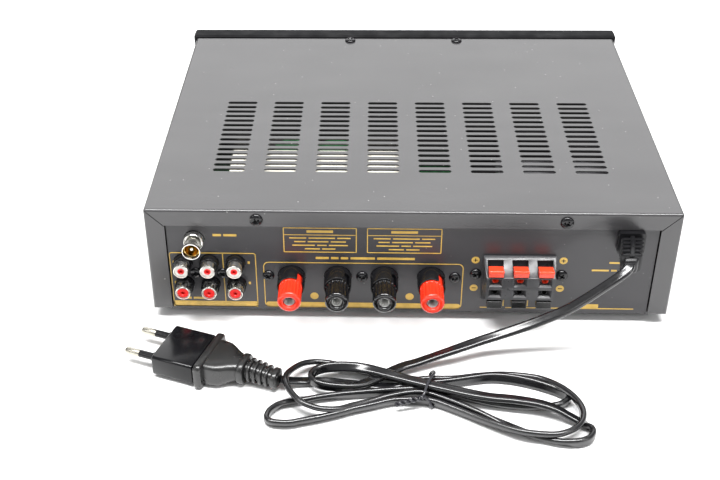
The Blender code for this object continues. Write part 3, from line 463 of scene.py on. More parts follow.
# x, out, height, and how far the cord's width is tipped up from flat, in degrees.
CORD_ROUTE = [
    (-110.4, 19.5, 54, 0), (-109.9, 21.7, 53.5, -5), (-108, 23.7, 51.8, -15),
    (-103.9, 25, 48.6, -20), (-97.5, 26.1, 43.6, -28), (-89.8, 26.8, 37.2, -35),
    (-81, 27, 30.2, -38), (-70.6, 26.9, 24, -38), (-60, 27.3, 18.8, -35), (-47, 28.4, 13.9, -28),
    (-36, 30.3, 10.7, -18), (-24, 34.8, 8.9, -8), (-13, 37.9, 6.4, 0), (-3.6, 41.4, 5, 0),
    (3, 44, 4.7, 0), (9.5, 48.2, 4.7, 0), (16, 52.8, 4.7, 0), (22, 56.9, 4.7, 5),
    (28, 59.6, 4.8, 30), (35, 61.4, 5.2, 70), (43, 61.4, 5.9, 85), (48.5, 59, 6.2, 90),
    (50.6, 54.8, 6.3, 90), (48.4, 50.6, 6.3, 98), (43.9, 48.4, 6.5, 108), (37.5, 47.6, 6.8, 122),
    (28.8, 48.2, 7.2, 140), (19.8, 50.4, 7.5, 160), (10.8, 53.8, 7.6, 172), (1.9, 57.2, 7.6, 180),
    (-8.6, 60.8, 7.6, 180), (-16.3, 63.2, 7.6, 180), (-27.8, 66.8, 7.5, 180),
    (-39.3, 69.4, 7.3, 185), (-50.8, 70.8, 7.3, 185), (-62.1, 72.9, 7, 190), (-70.3, 75.4, 6, 190),
    (-77.5, 78.4, 3.6, 190), (-83.2, 81.2, 1.9, 195), (-86.6, 84.8, 2.4, 230),
    (-87, 89.2, 2.9, 260), (-84.4, 93.4, 2.9, 270), (-78.7, 95.6, 2.9, 260), (-71, 94.8, 2.6, 230),
    (-62.9, 92, 2.2, 205), (-54.9, 88.5, 2, 200), (-46.9, 83.9, 2, 200), (-40.9, 80, 2.3, 215),
    (-33.1, 75.7, 2.7, 240), (-22, 69.6, 2.9, 255), (-9.6, 63.7, 2.9, 260), (-1, 62.8, 2.9, 260),
    (11, 65.8, 2.9, 250), (19.5, 69.3, 3, 240), (28.5, 73.3, 3.9, 230), (36, 77.3, 5, 225),
    (44, 78.8, 6.4, 222), (49.5, 77.8, 7.2, 222), (55, 74.8, 7.8, 222), (60, 68.8, 8.6, 222),
    (62.5, 62.3, 9, 222), (62.5, 56.3, 8.6, 222), (59.5, 50.3, 7.6, 222), (55, 45.3, 6.6, 222),
    (49, 42.3, 5.4, 222), (41.5, 41.8, 4.4, 222), (35.5, 42.8, 3.8, 215), (28, 44.1, 2.5, 200),
    (18, 46.4, 1.8, 185), (10, 48.6, 1.7, 180), (1.7, 50.6, 1.9, 190), (-4.5, 51.4, 2.5, 220),
    (-9.6, 51.6, 2.9, 240), (-23, 50.8, 2.9, 230), (-35, 48.3, 3, 222), (-47, 47.3, 3.2, 222),
    (-59, 48.8, 3.6, 222), (-67.5, 51.8, 4.2, 222), (-75.5, 58.8, 5.2, 225), (-81, 67.3, 5.9, 230),
    (-83.5, 74.8, 5.9, 230), (-83, 81.3, 5.9, 230), (-80, 87.3, 5.9, 230), (-74.5, 91.3, 5.8, 230),
    (-68, 93.3, 5.7, 230), (-59.5, 92.8, 5.5, 232), (-51.5, 90.8, 5, 235), (-43.5, 86.8, 4.2, 240),
    (-32.5, 80.3, 3.2, 245), (-21.5, 73.8, 2.9, 250), (-9.6, 68.4, 2.9, 255),
    (4.5, 68.3, 2.9, 255), (11, 69.3, 2.9, 252), (19.5, 72.3, 2.9, 248), (28.5, 75.3, 2.9, 244),
    (37, 78.8, 2.9, 242), (45.5, 81.8, 2.9, 242), (54, 84.3, 2.9, 242), (59.5, 85.8, 2.9, 242),
    (65.5, 85.8, 2.9, 242), (69.5, 84.8, 2.9, 245), (71, 82.3, 2.9, 250), (70, 77.8, 2.9, 250),
    (66.5, 73.3, 2.8, 240), (61.5, 69.8, 2.6, 215), (55, 68.3, 2.6, 210), (45.5, 66.3, 2.7, 230),
    (35, 64.8, 2.9, 250), (24, 63.3, 2.9, 260), (12.5, 61.6, 2.9, 260), (2, 60.4, 2.9, 260),
    (-9.6, 59.4, 2.9, 260), (-20, 62.2, 2.9, 260), (-31, 66.4, 2.9, 240), (-42.6, 69.6, 2.9, 232),
    (-57, 71.4, 2.9, 228), (-68, 70.6, 2.9, 235), (-75.5, 68.4, 2.9, 250), (-78.8, 64.4, 2.9, 268),
    (-76, 60.4, 2.9, 282), (-67.1, 55.5, 2.9, 292), (-58.6, 52.2, 2.9, 296),
    (-49.9, 50.1, 2.9, 296), (-41, 49.6, 2.9, 292), (-32.5, 51.2, 2.9, 284),
    (-22.3, 53.4, 2.9, 272), (-9.6, 55.4, 2.9, 255), (3, 56.7, 2.6, 220), (12, 57.2, 1.9, 190),
    (20, 56.6, 1.8, 180), (27, 55.6, 1.8, 180), (35, 54.6, 1.8, 180), (42, 53.6, 1.8, 180),
    (50.6, 53.6, 1.8, 180), (58, 54.8, 2.8, 185), (63, 56.4, 4.6, 190), (66.2, 56.9, 5.9, 190),
]  # fmt: skip
CORD_STEP = 1.6
# The cord comes out of the boot lying flat, so its width starts along X.
CORD_FIRST_TURN = [-90, -75, -45, -15]


def smooth_route(points, step):
    """Points about `step` apart on a smooth curve. Values after the first three go along."""
    padded = [
        tuple(2 * a - b for a, b in zip(points[0], points[1])),
        *points,
        tuple(2 * a - b for a, b in zip(points[-1], points[-2])),
    ]
    found = []
    for a, b, c, d in zip(padded, padded[1:], padded[2:], padded[3:]):
        count = max(1, round(math.dist(b[:3], c[:3]) / step))
        for k in range(count):
            t = k / count
            found.append(
                tuple(
                    q
                    + 0.5 * ((r - p) * t + (2 * p - 5 * q + 4 * r - s) * t**2)
                    + 0.5 * (3 * q - p - 3 * r + s) * t**3
                    for p, q, r, s in zip(a, b, c, d)
                )
            )
    return [*found, points[-1]]


def cord_section():
    """Two round cores side by side with a groove between them: (width, thickness) points."""
    radius = CORD_THICK / 2
    middle = CORD_WIDTH / 2 - radius
    half = []
    for step in range(-5, 6):
        angle = math.radians(step * 21)
        half.append((middle + radius * math.cos(angle), radius * math.sin(angle)))
    other = [(-a, -b) for a, b in half]
    groove = radius * 0.98
    return [*half, (0, groove), *other, (0, -groove)]


def make_cord():
    turns = CORD_FIRST_TURN + [0] * (len(CORD_ROUTE) - len(CORD_FIRST_TURN))
    stations = [(*at(x, out, z), tip, turn) for (x, out, z, tip), turn in zip(CORD_ROUTE, turns)]
    path = smooth_route(stations, CORD_STEP)
    section = cord_section()
    rings = []
    for i, (x, y, z, tip, turn) in enumerate(path):
        before, after = path[max(0, i - 1)], path[min(len(path) - 1, i + 1)]
        along = (Vector(after[:3]) - Vector(before[:3])).normalized()
        tip, turn = math.radians(tip), math.radians(turn)
        flat = math.cos(tip)
        wide = Vector((math.sin(turn) * flat, math.cos(turn) * flat, math.sin(tip)))
        wide = (wide - wide.dot(along) * along).normalized()
        thick = along.cross(wide)
        middle = Vector((x, y, z))
        rings.append([middle + a * wide + b * thick for a, b in section])
    mesh_data = bmesh.new()
    add_rings(mesh_data, rings)
    cord = piece(
        "flat_cord", mesh_data, CORD_PVC, "lead_pvc", ("mains_cord", "cord_hank"), sharp=60
    )
    centre = [Vector(point[:3]) * MM for point in path]
    return cord, centre


# ---------------------------------------------------------------- plug and adapter
PLUG_START = at(129.8, 34.6, 7.6)
PLUG_TURN = 160.5
PLUG_PLACE = Matrix.Translation(PLUG_START) @ Matrix.Rotation(math.radians(PLUG_TURN), 4, "Z")


def superellipse(width, height, power, steps=40):
    """Outline between an ellipse (power 2) and a rectangle (high power)."""
    outline = []
    for i in range(steps):
        angle = 2 * math.pi * (i + 0.5) / steps
        c, s = math.cos(angle), math.sin(angle)
        across = width / 2 * math.copysign(abs(c) ** (2 / power), c)
        outline.append((across, height / 2 * math.copysign(abs(s) ** (2 / power), s)))
    return outline


def add_loft(mesh_data, stations):
    """Joins sections given as (along, width, height, power, side shift, drop)."""
    rings = []
    for along, width, height, power, side, drop in stations:
        outline = superellipse(width, height, power)
        rings.append([PLUG_PLACE @ Vector((along, a + side, b - drop)) for a, b in outline])
    add_rings(mesh_data, rings)


def add_slab(mesh_data, start, end, width, height, corner, edge, side=0.0, drop=0.0):
    """A block along the plug's axis with round corners and softened rims."""
    rings = []
    rim = ((0.0, edge), (0.3 * edge, 0.3 * edge), (edge, 0.0))
    stations = [(start + step, inset) for step, inset in rim]
    stations += [(end - step, inset) for step, inset in reversed(rim)]
    for along, inset in stations:
        half = (width / 2 - inset, height / 2 - inset)
        outline = rounded_rectangle((-half[0], -half[1]), half, corner, 4)
        rings.append([PLUG_PLACE @ Vector((along, a + side, b - drop)) for a, b in outline])
    add_rings(mesh_data, rings)


def make_plug():
    """Flange, waisted body, thumb ridge and a ribbed tail that droops to the table."""
    mesh_data = bmesh.new()
    lean = -1.1
    add_slab(mesh_data, 26.4, 30.6, 31.6, 14.8, 2.6, 0.9, lean)
    body = [
        (29.5, 24.6, 13.4, 6.0, lean, 0),
        (33.0, 24.6, 13.6, 6.0, lean, 0),
        (36.5, 24.0, 13.4, 5.5, lean, 0),
        (39.5, 21.4, 12.9, 4.5, lean, 0),
        (42.5, 17.4, 12.0, 3.6, lean * 0.7, 0),
        (45.2, 14.6, 11.4, 3.0, lean * 0.5, 0),
        (47.0, 13.6, 11.0, 2.8, lean * 0.5, 0),
    ]
    add_loft(mesh_data, body)
    add_slab(mesh_data, 46.0, 49.8, 15.8, 12.8, 4.6, 0.8, lean * 0.5)
    ribs, first, pitch = 5, 51.0, 3.2
    tail_end = 67.0

    def drop(along):
        return 1.7 * max(0.0, (along - 50.0) / (tail_end - 50.0)) ** 1.5

    core = [(48.5, 9.6, 9.0, 2.6, 0, 0)]
    for along in range(51, 67, 3):
        shrink = 0.1 * (along - 48)
        core.append((along, 9.6 - shrink, 9.0 - shrink, 2.6, 0, drop(along)))
    core.append((tail_end, 7.2, 6.6, 2.4, 0, drop(tail_end)))
    add_loft(mesh_data, core)
    for rib in range(ribs):
        start = first + rib * pitch
        size = 12.2 - 0.35 * rib
        last = rib == ribs - 1
        end = start + (3.0 if last else 1.7)
        add_slab(mesh_data, start, end, size, size - 1.2, 3.9, 0.4, drop=drop(start + 1))
    return piece("plug_body", mesh_data, PLUG_PVC, "lead_pvc", ("mains_plug",), sharp=50)


def add_circle_mark(mesh_data, middle, radius):
    """A round moulded mark: a shallow ring standing on the surface."""
    profile = [(radius - 0.9, 0.0), (radius, 0.0), (radius - 0.2, 0.35), (radius - 0.7, 0.35)]
    add_lathe(mesh_data, profile, PLUG_PLACE @ Matrix.Translation(middle), segments=32)


def make_adapter():
    length, width, height, lean = 25.6, 28.8, 11.8, -1.2
    mesh_data = bmesh.new()
    add_slab(mesh_data, 2.0, length, width, height, 1.6, 0.9, lean)
    for along, side in ((7.5, 4.6), (17.6, 0.8)):
        add_circle_mark(mesh_data, (along, side, height / 2 - 0.1), 2.8)
    adapter = piece(
        "travel_adapter", mesh_data, ADAPTER_BLACK, "lead_pvc", ("plug_adapter",), sharp=50
    )
    metal, sleeves = bmesh.new(), bmesh.new()
    spacing, radius, reach = 17.8, 2.0, 17.0
    for side in (-1, 1):
        place = PLUG_PLACE @ facing((-1, 0, 0), (0, side * spacing / 2, 0))
        tip = [(radius, 8.4), (radius, reach - 1.8), (radius * 0.86, reach - 0.7)]
        tip += [(radius * 0.5, reach - 0.1), (0, reach)]
        add_lathe(metal, [(0, 7.6), (radius * 0.9, 7.6), *tip], place, segments=32)
        sleeve = [(0, -2.6), (radius + 0.5, -2.6), (radius + 0.5, 0.5), (radius, 0.9)]
        add_lathe(sleeves, [*sleeve, (radius, 8.3), (0, 8.3)], place, segments=32)
    nodes = ("adapter_pin_1", "adapter_pin_2")
    return [
        adapter,
        piece("pin_tips", metal, PIN_METAL, "plated_metal", nodes),
        piece("pin_sleeves", sleeves, ADAPTER_BLACK, "lead_pvc"),
    ]


# ---------------------------------------------------------------- tie and strain relief
def add_wire(mesh_data, points, radius, segments=10, step=1.0):
    """A round wire along a smooth curve through points."""
    path = [Vector(p) for p in smooth_route([tuple(p) for p in points], step)]
    side = Vector((1, 0, 0))
    rings = []
    for i, middle in enumerate(path):
        along = (path[min(len(path) - 1, i + 1)] - path[max(0, i - 1)]).normalized()
        side = (side - side.dot(along) * along).normalized()
        other = along.cross(side)
        ring = []
        for k in range(segments):
            angle = 2 * math.pi * k / segments
            ring.append(middle + radius * (math.cos(angle) * side + math.sin(angle) * other))
        rings.append(ring)
    add_rings(mesh_data, rings)


def make_tie():
    """Coated wire round the bundle's waist, its two ends twisted together in front."""
    mesh_data = bmesh.new()
    x, radius = -9.6, 0.75
    loop = [
        (x + 3.0, 69.6, 7.2), (x + 0.6, 70.1, 4.6), (x - 0.6, 71.0, 2.2), (x - 1.4, 69.4, 0.85),
        (x - 1.2, 60.0, 0.8), (x - 0.8, 52.0, 0.8), (x - 0.6, 48.9, 1.8), (x - 1.2, 48.6, 4.4),
        (x - 2.4, 50.0, 6.6), (x - 2.8, 53.2, 8.4), (x - 1.0, 57.6, 9.8), (x + 0.6, 61.4, 9.8),
        (x + 2.0, 65.4, 9.2), (x + 3.0, 68.6, 8.2), (x + 4.2, 69.8, 7.0),
    ]  # fmt: skip
    add_wire(mesh_data, [at(*p) for p in loop], radius)
    turns, tail = 2.6, 14.0
    for phase in (0.0, math.pi):
        strand = []
        steps = 26
        for k in range(steps + 1):
            share = k / steps
            angle = phase + 2 * math.pi * turns * share
            swing = 0.95 * (1 - 0.25 * share)
            out = 70.2 + 3.4 * share + swing * math.cos(angle)
            height = 7.2 - 2.2 * share + swing * math.sin(angle)
            strand.append(at(x + 3.4 + tail * share, out, height))
        add_wire(mesh_data, strand, radius * 0.9)
    return piece("tie_wire_twist", mesh_data, TIE_WIRE, "tie_wire", ("cord_tie",), sharp=60)


def make_relief():
    """The panel flange and a boot of ribs on a spine, whose last ribs sag over a short end."""
    low = node_box("cord_relief")[0]
    x, z = -114.5, BASE + 48.2
    end_x, reach = -111.2, 19.0
    mesh_data = bmesh.new()
    flange = rounded_rectangle((x - 6.9, z - 6.4), (x + 6.9, z + 6.6), 1.6)
    add_prism(mesh_data, flange, 1, low.y + 6.4, REAR + 2.6)

    def section(share, low_x, high_x, low_z, high_z, corner=1.0, sag=0.0):
        out = 1.6 + (reach - 1.6) * share
        middle = at(x + (end_x - x) * share**1.3, out, z - sag)
        outline = rounded_rectangle((low_x, low_z), (high_x, high_z), corner, 3)
        return [middle + Vector((a, 0, b)) for a, b in outline]

    for spine in ((-3.6, 3.6, -4.6, 3.6), (-1.2, 1.2, 2.0, 5.3, 0.5)):
        add_rings(mesh_data, [section(share, *spine) for share in (0, 0.3, 0.6, 0.99)])
    for rib in range(5):
        first = 0.14 + rib * 0.185
        last = first + 0.105
        half, top, sag = 6.0 - 0.8 * first, 5.4 - 0.9 * first, 1.2 * max(0.0, first - 0.5)
        rim = (-half + 0.4, half - 0.4, -5.4, top - 0.4, 1.0, sag)
        full = (-half, half, -5.8, top, 1.0, sag)
        stations = ((first, rim), (first + 0.02, full), (last - 0.02, full), (last, rim))
        add_rings(mesh_data, [section(share, *size) for share, size in stations])
    block = [
        section(0.80, -3.8, 3.8, -4.8, 3.6, 1.3, 0.4),
        section(1.00, -3.8, 3.8, -5.0, 3.4, 1.3, 0.6),
        section(1.09, -3.4, 3.4, -4.6, 2.8, 1.3, 0.8),
        section(1.12, -2.8, 2.8, -4.0, 2.2, 1.3, 0.9),
    ]
    add_rings(mesh_data, block)
    return piece("relief_boot", mesh_data, RELIEF_BLACK, "lead_pvc", ("cord_relief",), sharp=40)


# ---------------------------------------------------------------- case
VENT_COLUMNS, VENT_ROWS = 8, 15
VENT_PITCH = (28.3, 5.7)
VENT_SIZE = (17.8, 2.95)
VENT_MIDDLE_OUT = -81.4
FLANGE = 9.8
SIDE_FLANGE = 10.5
INK = 0.06  # how far the print stands proud of the panel, and how deep it goes in


def capsule(middle, size, steps=5):
    """Outline of a slot with round ends."""
    return rounded_rectangle(
        (middle[0] - size[0] / 2, middle[1] - size[1] / 2),
        (middle[0] + size[0] / 2, middle[1] + size[1] / 2),
        size[1] / 2 - 0.001,
        steps,
    )


def make_cover():
    """One folded sheet: top, sides, and a rear flange whose corners meet in 45 degree seams."""
    half = COVER_HIGH.x
    bend, sheet = 1.5, 0.8
    body = bmesh.new()
    add_box(body, (COVER_LOW.x, COVER_LOW.y, BASE + 0.1), COVER_HIGH)
    bent = [
        edge
        for edge in body.edges
        if all(abs(abs(v.co.x) - half) < 0.01 for v in edge.verts)
        and (
            all(abs(v.co.z - TOP) < 0.01 for v in edge.verts)
            or all(abs(v.co.y - REAR) < 0.01 for v in edge.verts)
        )
        or all(abs(v.co.z - TOP) < 0.01 and abs(v.co.y - REAR) < 0.01 for v in edge.verts)
    ]
    bmesh.ops.bevel(body, geom=bent, offset=bend, segments=4, profile=0.5, affect="EDGES")
    cover = piece("case_cover", body, COVER_PAINT, "case_paint", ("top_cover",))
    hollow = ((-half + sheet, COVER_LOW.y - 5, BASE - 5), (half - sheet, REAR - sheet, TOP - sheet))
    window_low = (-half + SIDE_FLANGE, REAR - 5, BASE - 5)
    window_high = (half - SIDE_FLANGE, REAR + 5, TOP - FLANGE)
    for low, high in (hollow, (window_low, window_high)):
        opening = bmesh.new()
        add_box(opening, low, high)
        carve(cover, opening)
    slots = bmesh.new()
    for column in range(VENT_COLUMNS):
        for row in range(VENT_ROWS):
            x = (column - (VENT_COLUMNS - 1) / 2) * VENT_PITCH[0]
            y = REAR + VENT_MIDDLE_OUT + (row - (VENT_ROWS - 1) / 2) * VENT_PITCH[1]
            add_prism(slots, capsule((x, y), VENT_SIZE), 2, TOP - 3, TOP + 3)
    carve(cover, slots)
    seams = bmesh.new()
    for side in (-1, 1):
        corner = Vector((side * (half - 0.6), REAR, TOP - 0.6))
        inner = Vector((side * (half - FLANGE - 0.6), REAR, TOP - FLANGE - 0.6))
        middle, along = (corner + inner) / 2, inner - corner
        turn = Vector((0, 0, 1)).rotation_difference(along).to_matrix().to_4x4()
        place = Matrix.Translation(middle) @ turn
        seam = Vector((0.22, 0.75, along.length / 2))
        add_box(seams, -seam, seam, place)
    carve(cover, seams)
    normals = cover.modifiers.new("normals", "WEIGHTED_NORMAL")
    normals.keep_sharp = True


def add_frame(mesh_data, low, high, stroke, radius=0.6):
    """A printed outline on the rear panel: x, z corners and the line's width."""
    outer = rounded_rectangle(low, high, radius, 4)
    inner_low = (low[0] + stroke, low[1] + stroke)
    inner_high = (high[0] - stroke, high[1] - stroke)
    inner = rounded_rectangle(inner_low, inner_high, max(0.1, radius - stroke), 4)
    y = PANEL_OUTER + INK
    out = [mesh_data.verts.new((a, y, b)) for a, b in outer]
    back = [mesh_data.verts.new((a, y, b)) for a, b in inner]
    sunk_out = [mesh_data.verts.new((a, y - 2 * INK, b)) for a, b in outer]
    sunk_in = [mesh_data.verts.new((a, y - 2 * INK, b)) for a, b in inner]
    count = len(outer)
    for i in range(count):
        j = (i + 1) % count
        mesh_data.faces.new((out[i], back[i], back[j], out[j]))
        mesh_data.faces.new((out[j], sunk_out[j], sunk_out[i], out[i]))
        mesh_data.faces.new((back[i], sunk_in[i], sunk_in[j], back[j]))
        mesh_data.faces.new((sunk_out[i], sunk_out[j], sunk_in[j], sunk_in[i]))


def add_patch(mesh_data, low, high, radius=0.3):
    outline = rounded_rectangle(low, high, radius, 3)
    add_prism(mesh_data, outline, 1, PANEL_OUTER - INK, PANEL_OUTER + INK)


def add_disc(mesh_data, x, z, radius):
    place = facing((0, 1, 0), (x, PANEL_OUTER - INK, z))
    profile = [(0, 0), (radius, 0), (radius, 2 * INK), (0, 2 * INK)]
    add_lathe(mesh_data, profile, place, segments=32)


def add_dashes(mesh_data, x, z, height, words, gap=1.2):
    """A row of bars centred on x, one for each word of a line, its height above the case."""
    start = x + (sum(words) + gap * (len(words) - 1)) / 2
    for word in words:
        low, high = (start - word, BASE + z - height / 2), (start, BASE + z + height / 2)
        add_patch(mesh_data, low, high, 0.15)
        start -= word + gap


def make_print():
    """Gold outlines and marks on the rear panel, with plain bars where words would be."""
    ink = bmesh.new()
    stroke = 0.5
    add_frame(ink, (82.0, BASE + 1.3), (128.8, BASE + 37.3), stroke, radius=1.5)
    add_patch(ink, (99.6, BASE + 5.0), (100.1, BASE + 36.6), 0.1)
    add_patch(ink, (82.2, BASE + 1.3), (128.8, BASE + 5.0))
    add_frame(ink, (-29.1, BASE + 1.4), (78.3, BASE + 31.7), stroke, radius=3.0)
    add_patch(ink, (-28.4, BASE + 1.5), (77.6, BASE + 5.0), 1.4)
    for low_x, high_x in ((28.0, 66.9), (-16.8, 22.6)):
        add_frame(ink, (low_x, BASE + 38.2), (high_x, BASE + 54.0), stroke)
        add_patch(ink, (low_x + 0.3, BASE + 49.2), (high_x - 0.3, BASE + 49.6), 0.1)
        add_dashes(ink, (low_x + high_x) / 2, 51.6, 1.5, (14.0,))
        for row, words in enumerate(((9, 14, 7), (6, 11, 8), (12, 5, 10), (8, 7))):
            add_dashes(ink, (low_x + high_x) / 2, 47.4 - 2.3 * row, 0.7, words)
    for x, z in ((51.0, 9.3), (-0.8, 9.6)):
        add_disc(ink, x, BASE + z, 2.25)
    for x, z in ((-35.1, 34.4), (-81.4, 34.5), (-35.1, 16.1), (-81.2, 16.2)):
        add_disc(ink, x, BASE + z, 2.15)
    add_patch(ink, (-51.0, BASE + 2.7), (-39.2, BASE + 3.3), 0.1)
    add_patch(ink, (-122.0, BASE + 2.7), (-53.0, BASE + 3.3), 0.1)
    add_patch(ink, (-102.9, BASE + 3.1), (-91.3, BASE + 5.9))
    for x in (-51.7, -64.7):
        add_patch(ink, (x - 0.3, BASE + 4.0), (x + 0.3, BASE + 9.5), 0.1)
    add_dashes(ink, 23.5, 34.6, 1.4, (7, 4, 4, 13, 20))
    add_dashes(ink, 98.0, 48.7, 1.4, (4.5, 7))
    add_dashes(ink, -111.5, 33.5, 1.1, (12,))
    add_dashes(ink, -108.0, 28.5, 1.1, (9, 3, 8))
    for x, z in ((126.5, 31.0), (126.5, 17.5), (86.0, 31.0), (86.0, 17.5)):
        add_dashes(ink, x, z, 1.6, (1.2,))
    add_dashes(ink, 114.0, 7.0, 1.4, (3, 7, 3))
    piece("rear_print", ink, GOLD_INK, "rear_paint")
    signs = bmesh.new()
    front = PANEL_OUTER + 2 * INK
    for x, z, plus in ((-35.1, 34.4, 1), (-81.4, 34.5, 1), (-35.1, 16.1, 0), (-81.2, 16.2, 0)):
        for long, tall in ((1.1, 0.22), (0.22, 1.1))[: 1 + plus]:
            add_box(
                signs,
                (x - long, PANEL_OUTER, BASE + z - tall),
                (x + long, front, BASE + z + tall),
            )
    piece("polarity_signs", signs, SCREW_BLACK, "rear_paint")


# ---------------------------------------------------------------- screws
def screw_mesh(radius):
    """A domed head with a cross recess, its seat at the origin and its top along +Z."""
    head = bmesh.new()
    profile = [
        (0, -0.4),
        (radius, -0.4),
        (radius, 0.25),
        (radius * 0.95, 0.75),
        (radius * 0.82, 1.15),
        (radius * 0.6, 1.45),
        (radius * 0.3, 1.6),
        (0, 1.65),
    ]
    add_lathe(head, profile, Matrix(), segments=32)
    made = piece("carver", head, None, None)
    made.name = "screw_pattern"
    recess = bmesh.new()
    long, thin = radius * 0.62, radius * 0.15
    rings = []
    for height, share in ((0.35, 0.35), (2.2, 1.15)):
        arm, web = long * share, thin * (0.7 + 0.4 * share)
        outline = [
            (arm, web), (web, web), (web, arm), (-web, arm), (-web, web), (-arm, web),
            (-arm, -web), (-web, -web), (-web, -arm), (web, -arm), (web, -web), (arm, -web),
        ]  # fmt: skip
        rings.append([Vector((a, b, height)) for a, b in outline])
    add_rings(recess, rings)
    carve(made, recess)
    mesh = made.data
    bpy.data.objects.remove(made)
    return mesh


def add_screw(mesh_data, pattern, place, turn):
    """Copies a screw in metres to a place in millimetres, its recess turned by some degrees."""
    first = len(mesh_data.verts)
    mesh_data.from_mesh(pattern)
    mesh_data.verts.ensure_lookup_table()
    matrix = place @ Matrix.Rotation(math.radians(turn), 4, "Z") @ Matrix.Scale(1 / MM, 4)
    for vertex in mesh_data.verts[first:]:
        vertex.co = matrix @ vertex.co


def make_screws():
    pattern = screw_mesh(3.5)
    flange_z = TOP - FLANGE / 2 - 0.6
    heads = [
        ("cover_screw_1", facing((0, 1, 0), (80.6, REAR + 0.1, flange_z)), 20),
        ("cover_screw_2", facing((0, 1, 0), (-80.6, REAR + 0.1, flange_z)), 65),
        ("cover_screw_3", facing((0, 0, 1), (35.5, COVER_LOW.y + 4.7, TOP + 0.1)), 10),
        ("cover_screw_4", facing((0, 0, 1), (-35.5, COVER_LOW.y + 4.7, TOP + 0.1)), 50),
    ]
    for node, place, turn in heads:
        mesh_data = bmesh.new()
        add_screw(mesh_data, pattern, place, turn)
        piece(node + "_head", mesh_data, SCREW_BLACK, "screw_black", (node,))
    small = screw_mesh(3.2)
    panel_screws = [
        (115.0, 24.2, 5), (100.4, 24.0, 50), (75.6, 22.8, 30), (25.1, 22.8, 75), (-24.6, 22.8, 15),
        (-35.6, 25.4, 40), (-81.2, 25.1, 60),
    ]  # fmt: skip
    mesh_data = bmesh.new()
    for x, z, turn in panel_screws:
        place = facing((0, 1, 0), (x, PANEL_OUTER + 0.1, BASE + z))
        add_screw(mesh_data, small, place, turn)
    piece("panel_screws", mesh_data, SCREW_BLACK, "screw_black")


# ---------------------------------------------------------------- rear sockets
PHONO_X, PHONO_Z, PHONO_PITCH = 107.3, BASE + 23.8, 14.2


def make_phono_sockets():
    columns = [PHONO_X + PHONO_PITCH * (1 - i) for i in range(3)]
    barrels, collars, white, red = (bmesh.new() for _ in range(4))
    for row, z in enumerate((PHONO_Z + PHONO_PITCH / 2, PHONO_Z - PHONO_PITCH / 2)):
        centre_r = 1.8 if row == 0 else 3.05
        for x in columns:
            place = facing((0, 1, 0), (x, REAR, z))
            collar = [(4.3, -3), (5.1, -3), (5.1, 2.6), (4.9, 3.0), (4.3, 3.0)]
            add_lathe(collars, collar, place)
            barrel = [(3.55, -9), (4.15, -9), (4.15, 7.4), (3.95, 7.9), (3.7, 8.0), (3.55, 7.6)]
            add_lathe(barrels, barrel, place)
            face = [(1.2, -6), (3.5, -6), (3.5, 7.1), (3.2, 7.4), (centre_r, 7.4), (1.2, 7.0)]
            add_lathe(white, face, place)
            core = [(0, 2), (centre_r, 2), (centre_r, 7.6), (centre_r - 0.3, 7.9)]
            core += [(1.25, 7.9), (0.95, 7.5), (0.85, 6.0), (0, 5.8)]
            add_lathe(red, core, place, segments=32)
    low, high = node_box("rca_block")
    add_box(collars, low, (high.x, PANEL_OUTER - 1.3, high.z))
    low, high = node_box("rca_barrels")
    add_box(barrels, low, (high.x, low.y + 0.9, high.z))
    piece("phono_barrels", barrels, PLATED, "plated_metal", ("rca_barrels",))
    piece("phono_collars", collars, JACK_BLACK, "jack_plastic", ("rca_block",))
    piece("phono_faces", white, JACK_WHITE, "jack_plastic")
    piece("phono_centres", red, JACK_RED, "post_red")


def make_aerial_socket():
    place = facing((0, 1, 0), (114.4, PANEL_OUTER, BASE + 46.0))
    out = 12.3
    shell = [
        (1.9, -8), (4.9, -8), (4.9, 0.3), (5.3, 0.5), (5.3, 3.5), (5.1, 3.8), (4.9, 3.8),
        (4.7, 3.5), (4.7, 1.4), (4.2, 1.4), (4.2, out - 2.6), (4.9, out - 1.2),
        (4.95, out - 0.4), (4.8, out), (4.5, out), (4.0, out - 2.0), (4.0, 0.4), (1.9, 0.4),
    ]  # fmt: skip
    lathe("aerial_shell", shell, PLATED, "plated_metal", place, replaces=("antenna_shell",))
    lining = [(1.9, 0.3), (4.1, 0.3), (4.1, out - 1.9), (3.7, out - 2.2), (3.7, 0.7), (1.9, 0.7)]
    lathe("aerial_lining", lining, BRASS, "plated_metal", place)
    pin = [(0, -9), (1.5, -9), (1.5, 2.0), (1.15, 2.4), (1.15, 9.2), (0.9, 9.9), (0.5, 10.2)]
    pin.append((0, 10.3))
    lathe("aerial_pin", pin, PLATED, "plated_metal", place, segments=24, replaces=("antenna_pin",))


POST_PITCH, POST_X, POST_Z = 25.0, 25.6, BASE + 22.0
POST_XS = [POST_X + POST_PITCH * (1.5 - i) for i in range(4)]


def make_post_collars():
    collars = bmesh.new()
    for x in POST_XS:
        place = facing((0, 1, 0), (x, REAR, POST_Z))
        shroud = [(3.2, -5), (7.4, -5), (7.4, 8.7), (7.2, 9.2), (6.9, 9.3), (6.7, 9.0)]
        add_lathe(collars, [*shroud, (6.7, 0.9), (3.2, 0.9)], place, segments=64)
    made = piece("post_collars", collars, JACK_BLACK, "jack_plastic", ("post_block",))
    slots = bmesh.new()
    turn = Matrix.Rotation(math.radians(-45), 4, "Y")
    for x in POST_XS:
        place = Matrix.Translation((x, 0, POST_Z)) @ turn
        add_box(slots, (-1.9, REAR + 3.0, 4.0), (1.9, REAR + 14, 10.0), place)
    carve(made, slots)
    soften(made, 0.18, angle=40)
    block = bmesh.new()
    low, high = node_box("post_block")
    add_box(block, low, (high.x, PANEL_OUTER - 1.4, high.z))
    piece("post_moulding", block, JACK_BLACK, "jack_plastic", bevel=0.4)


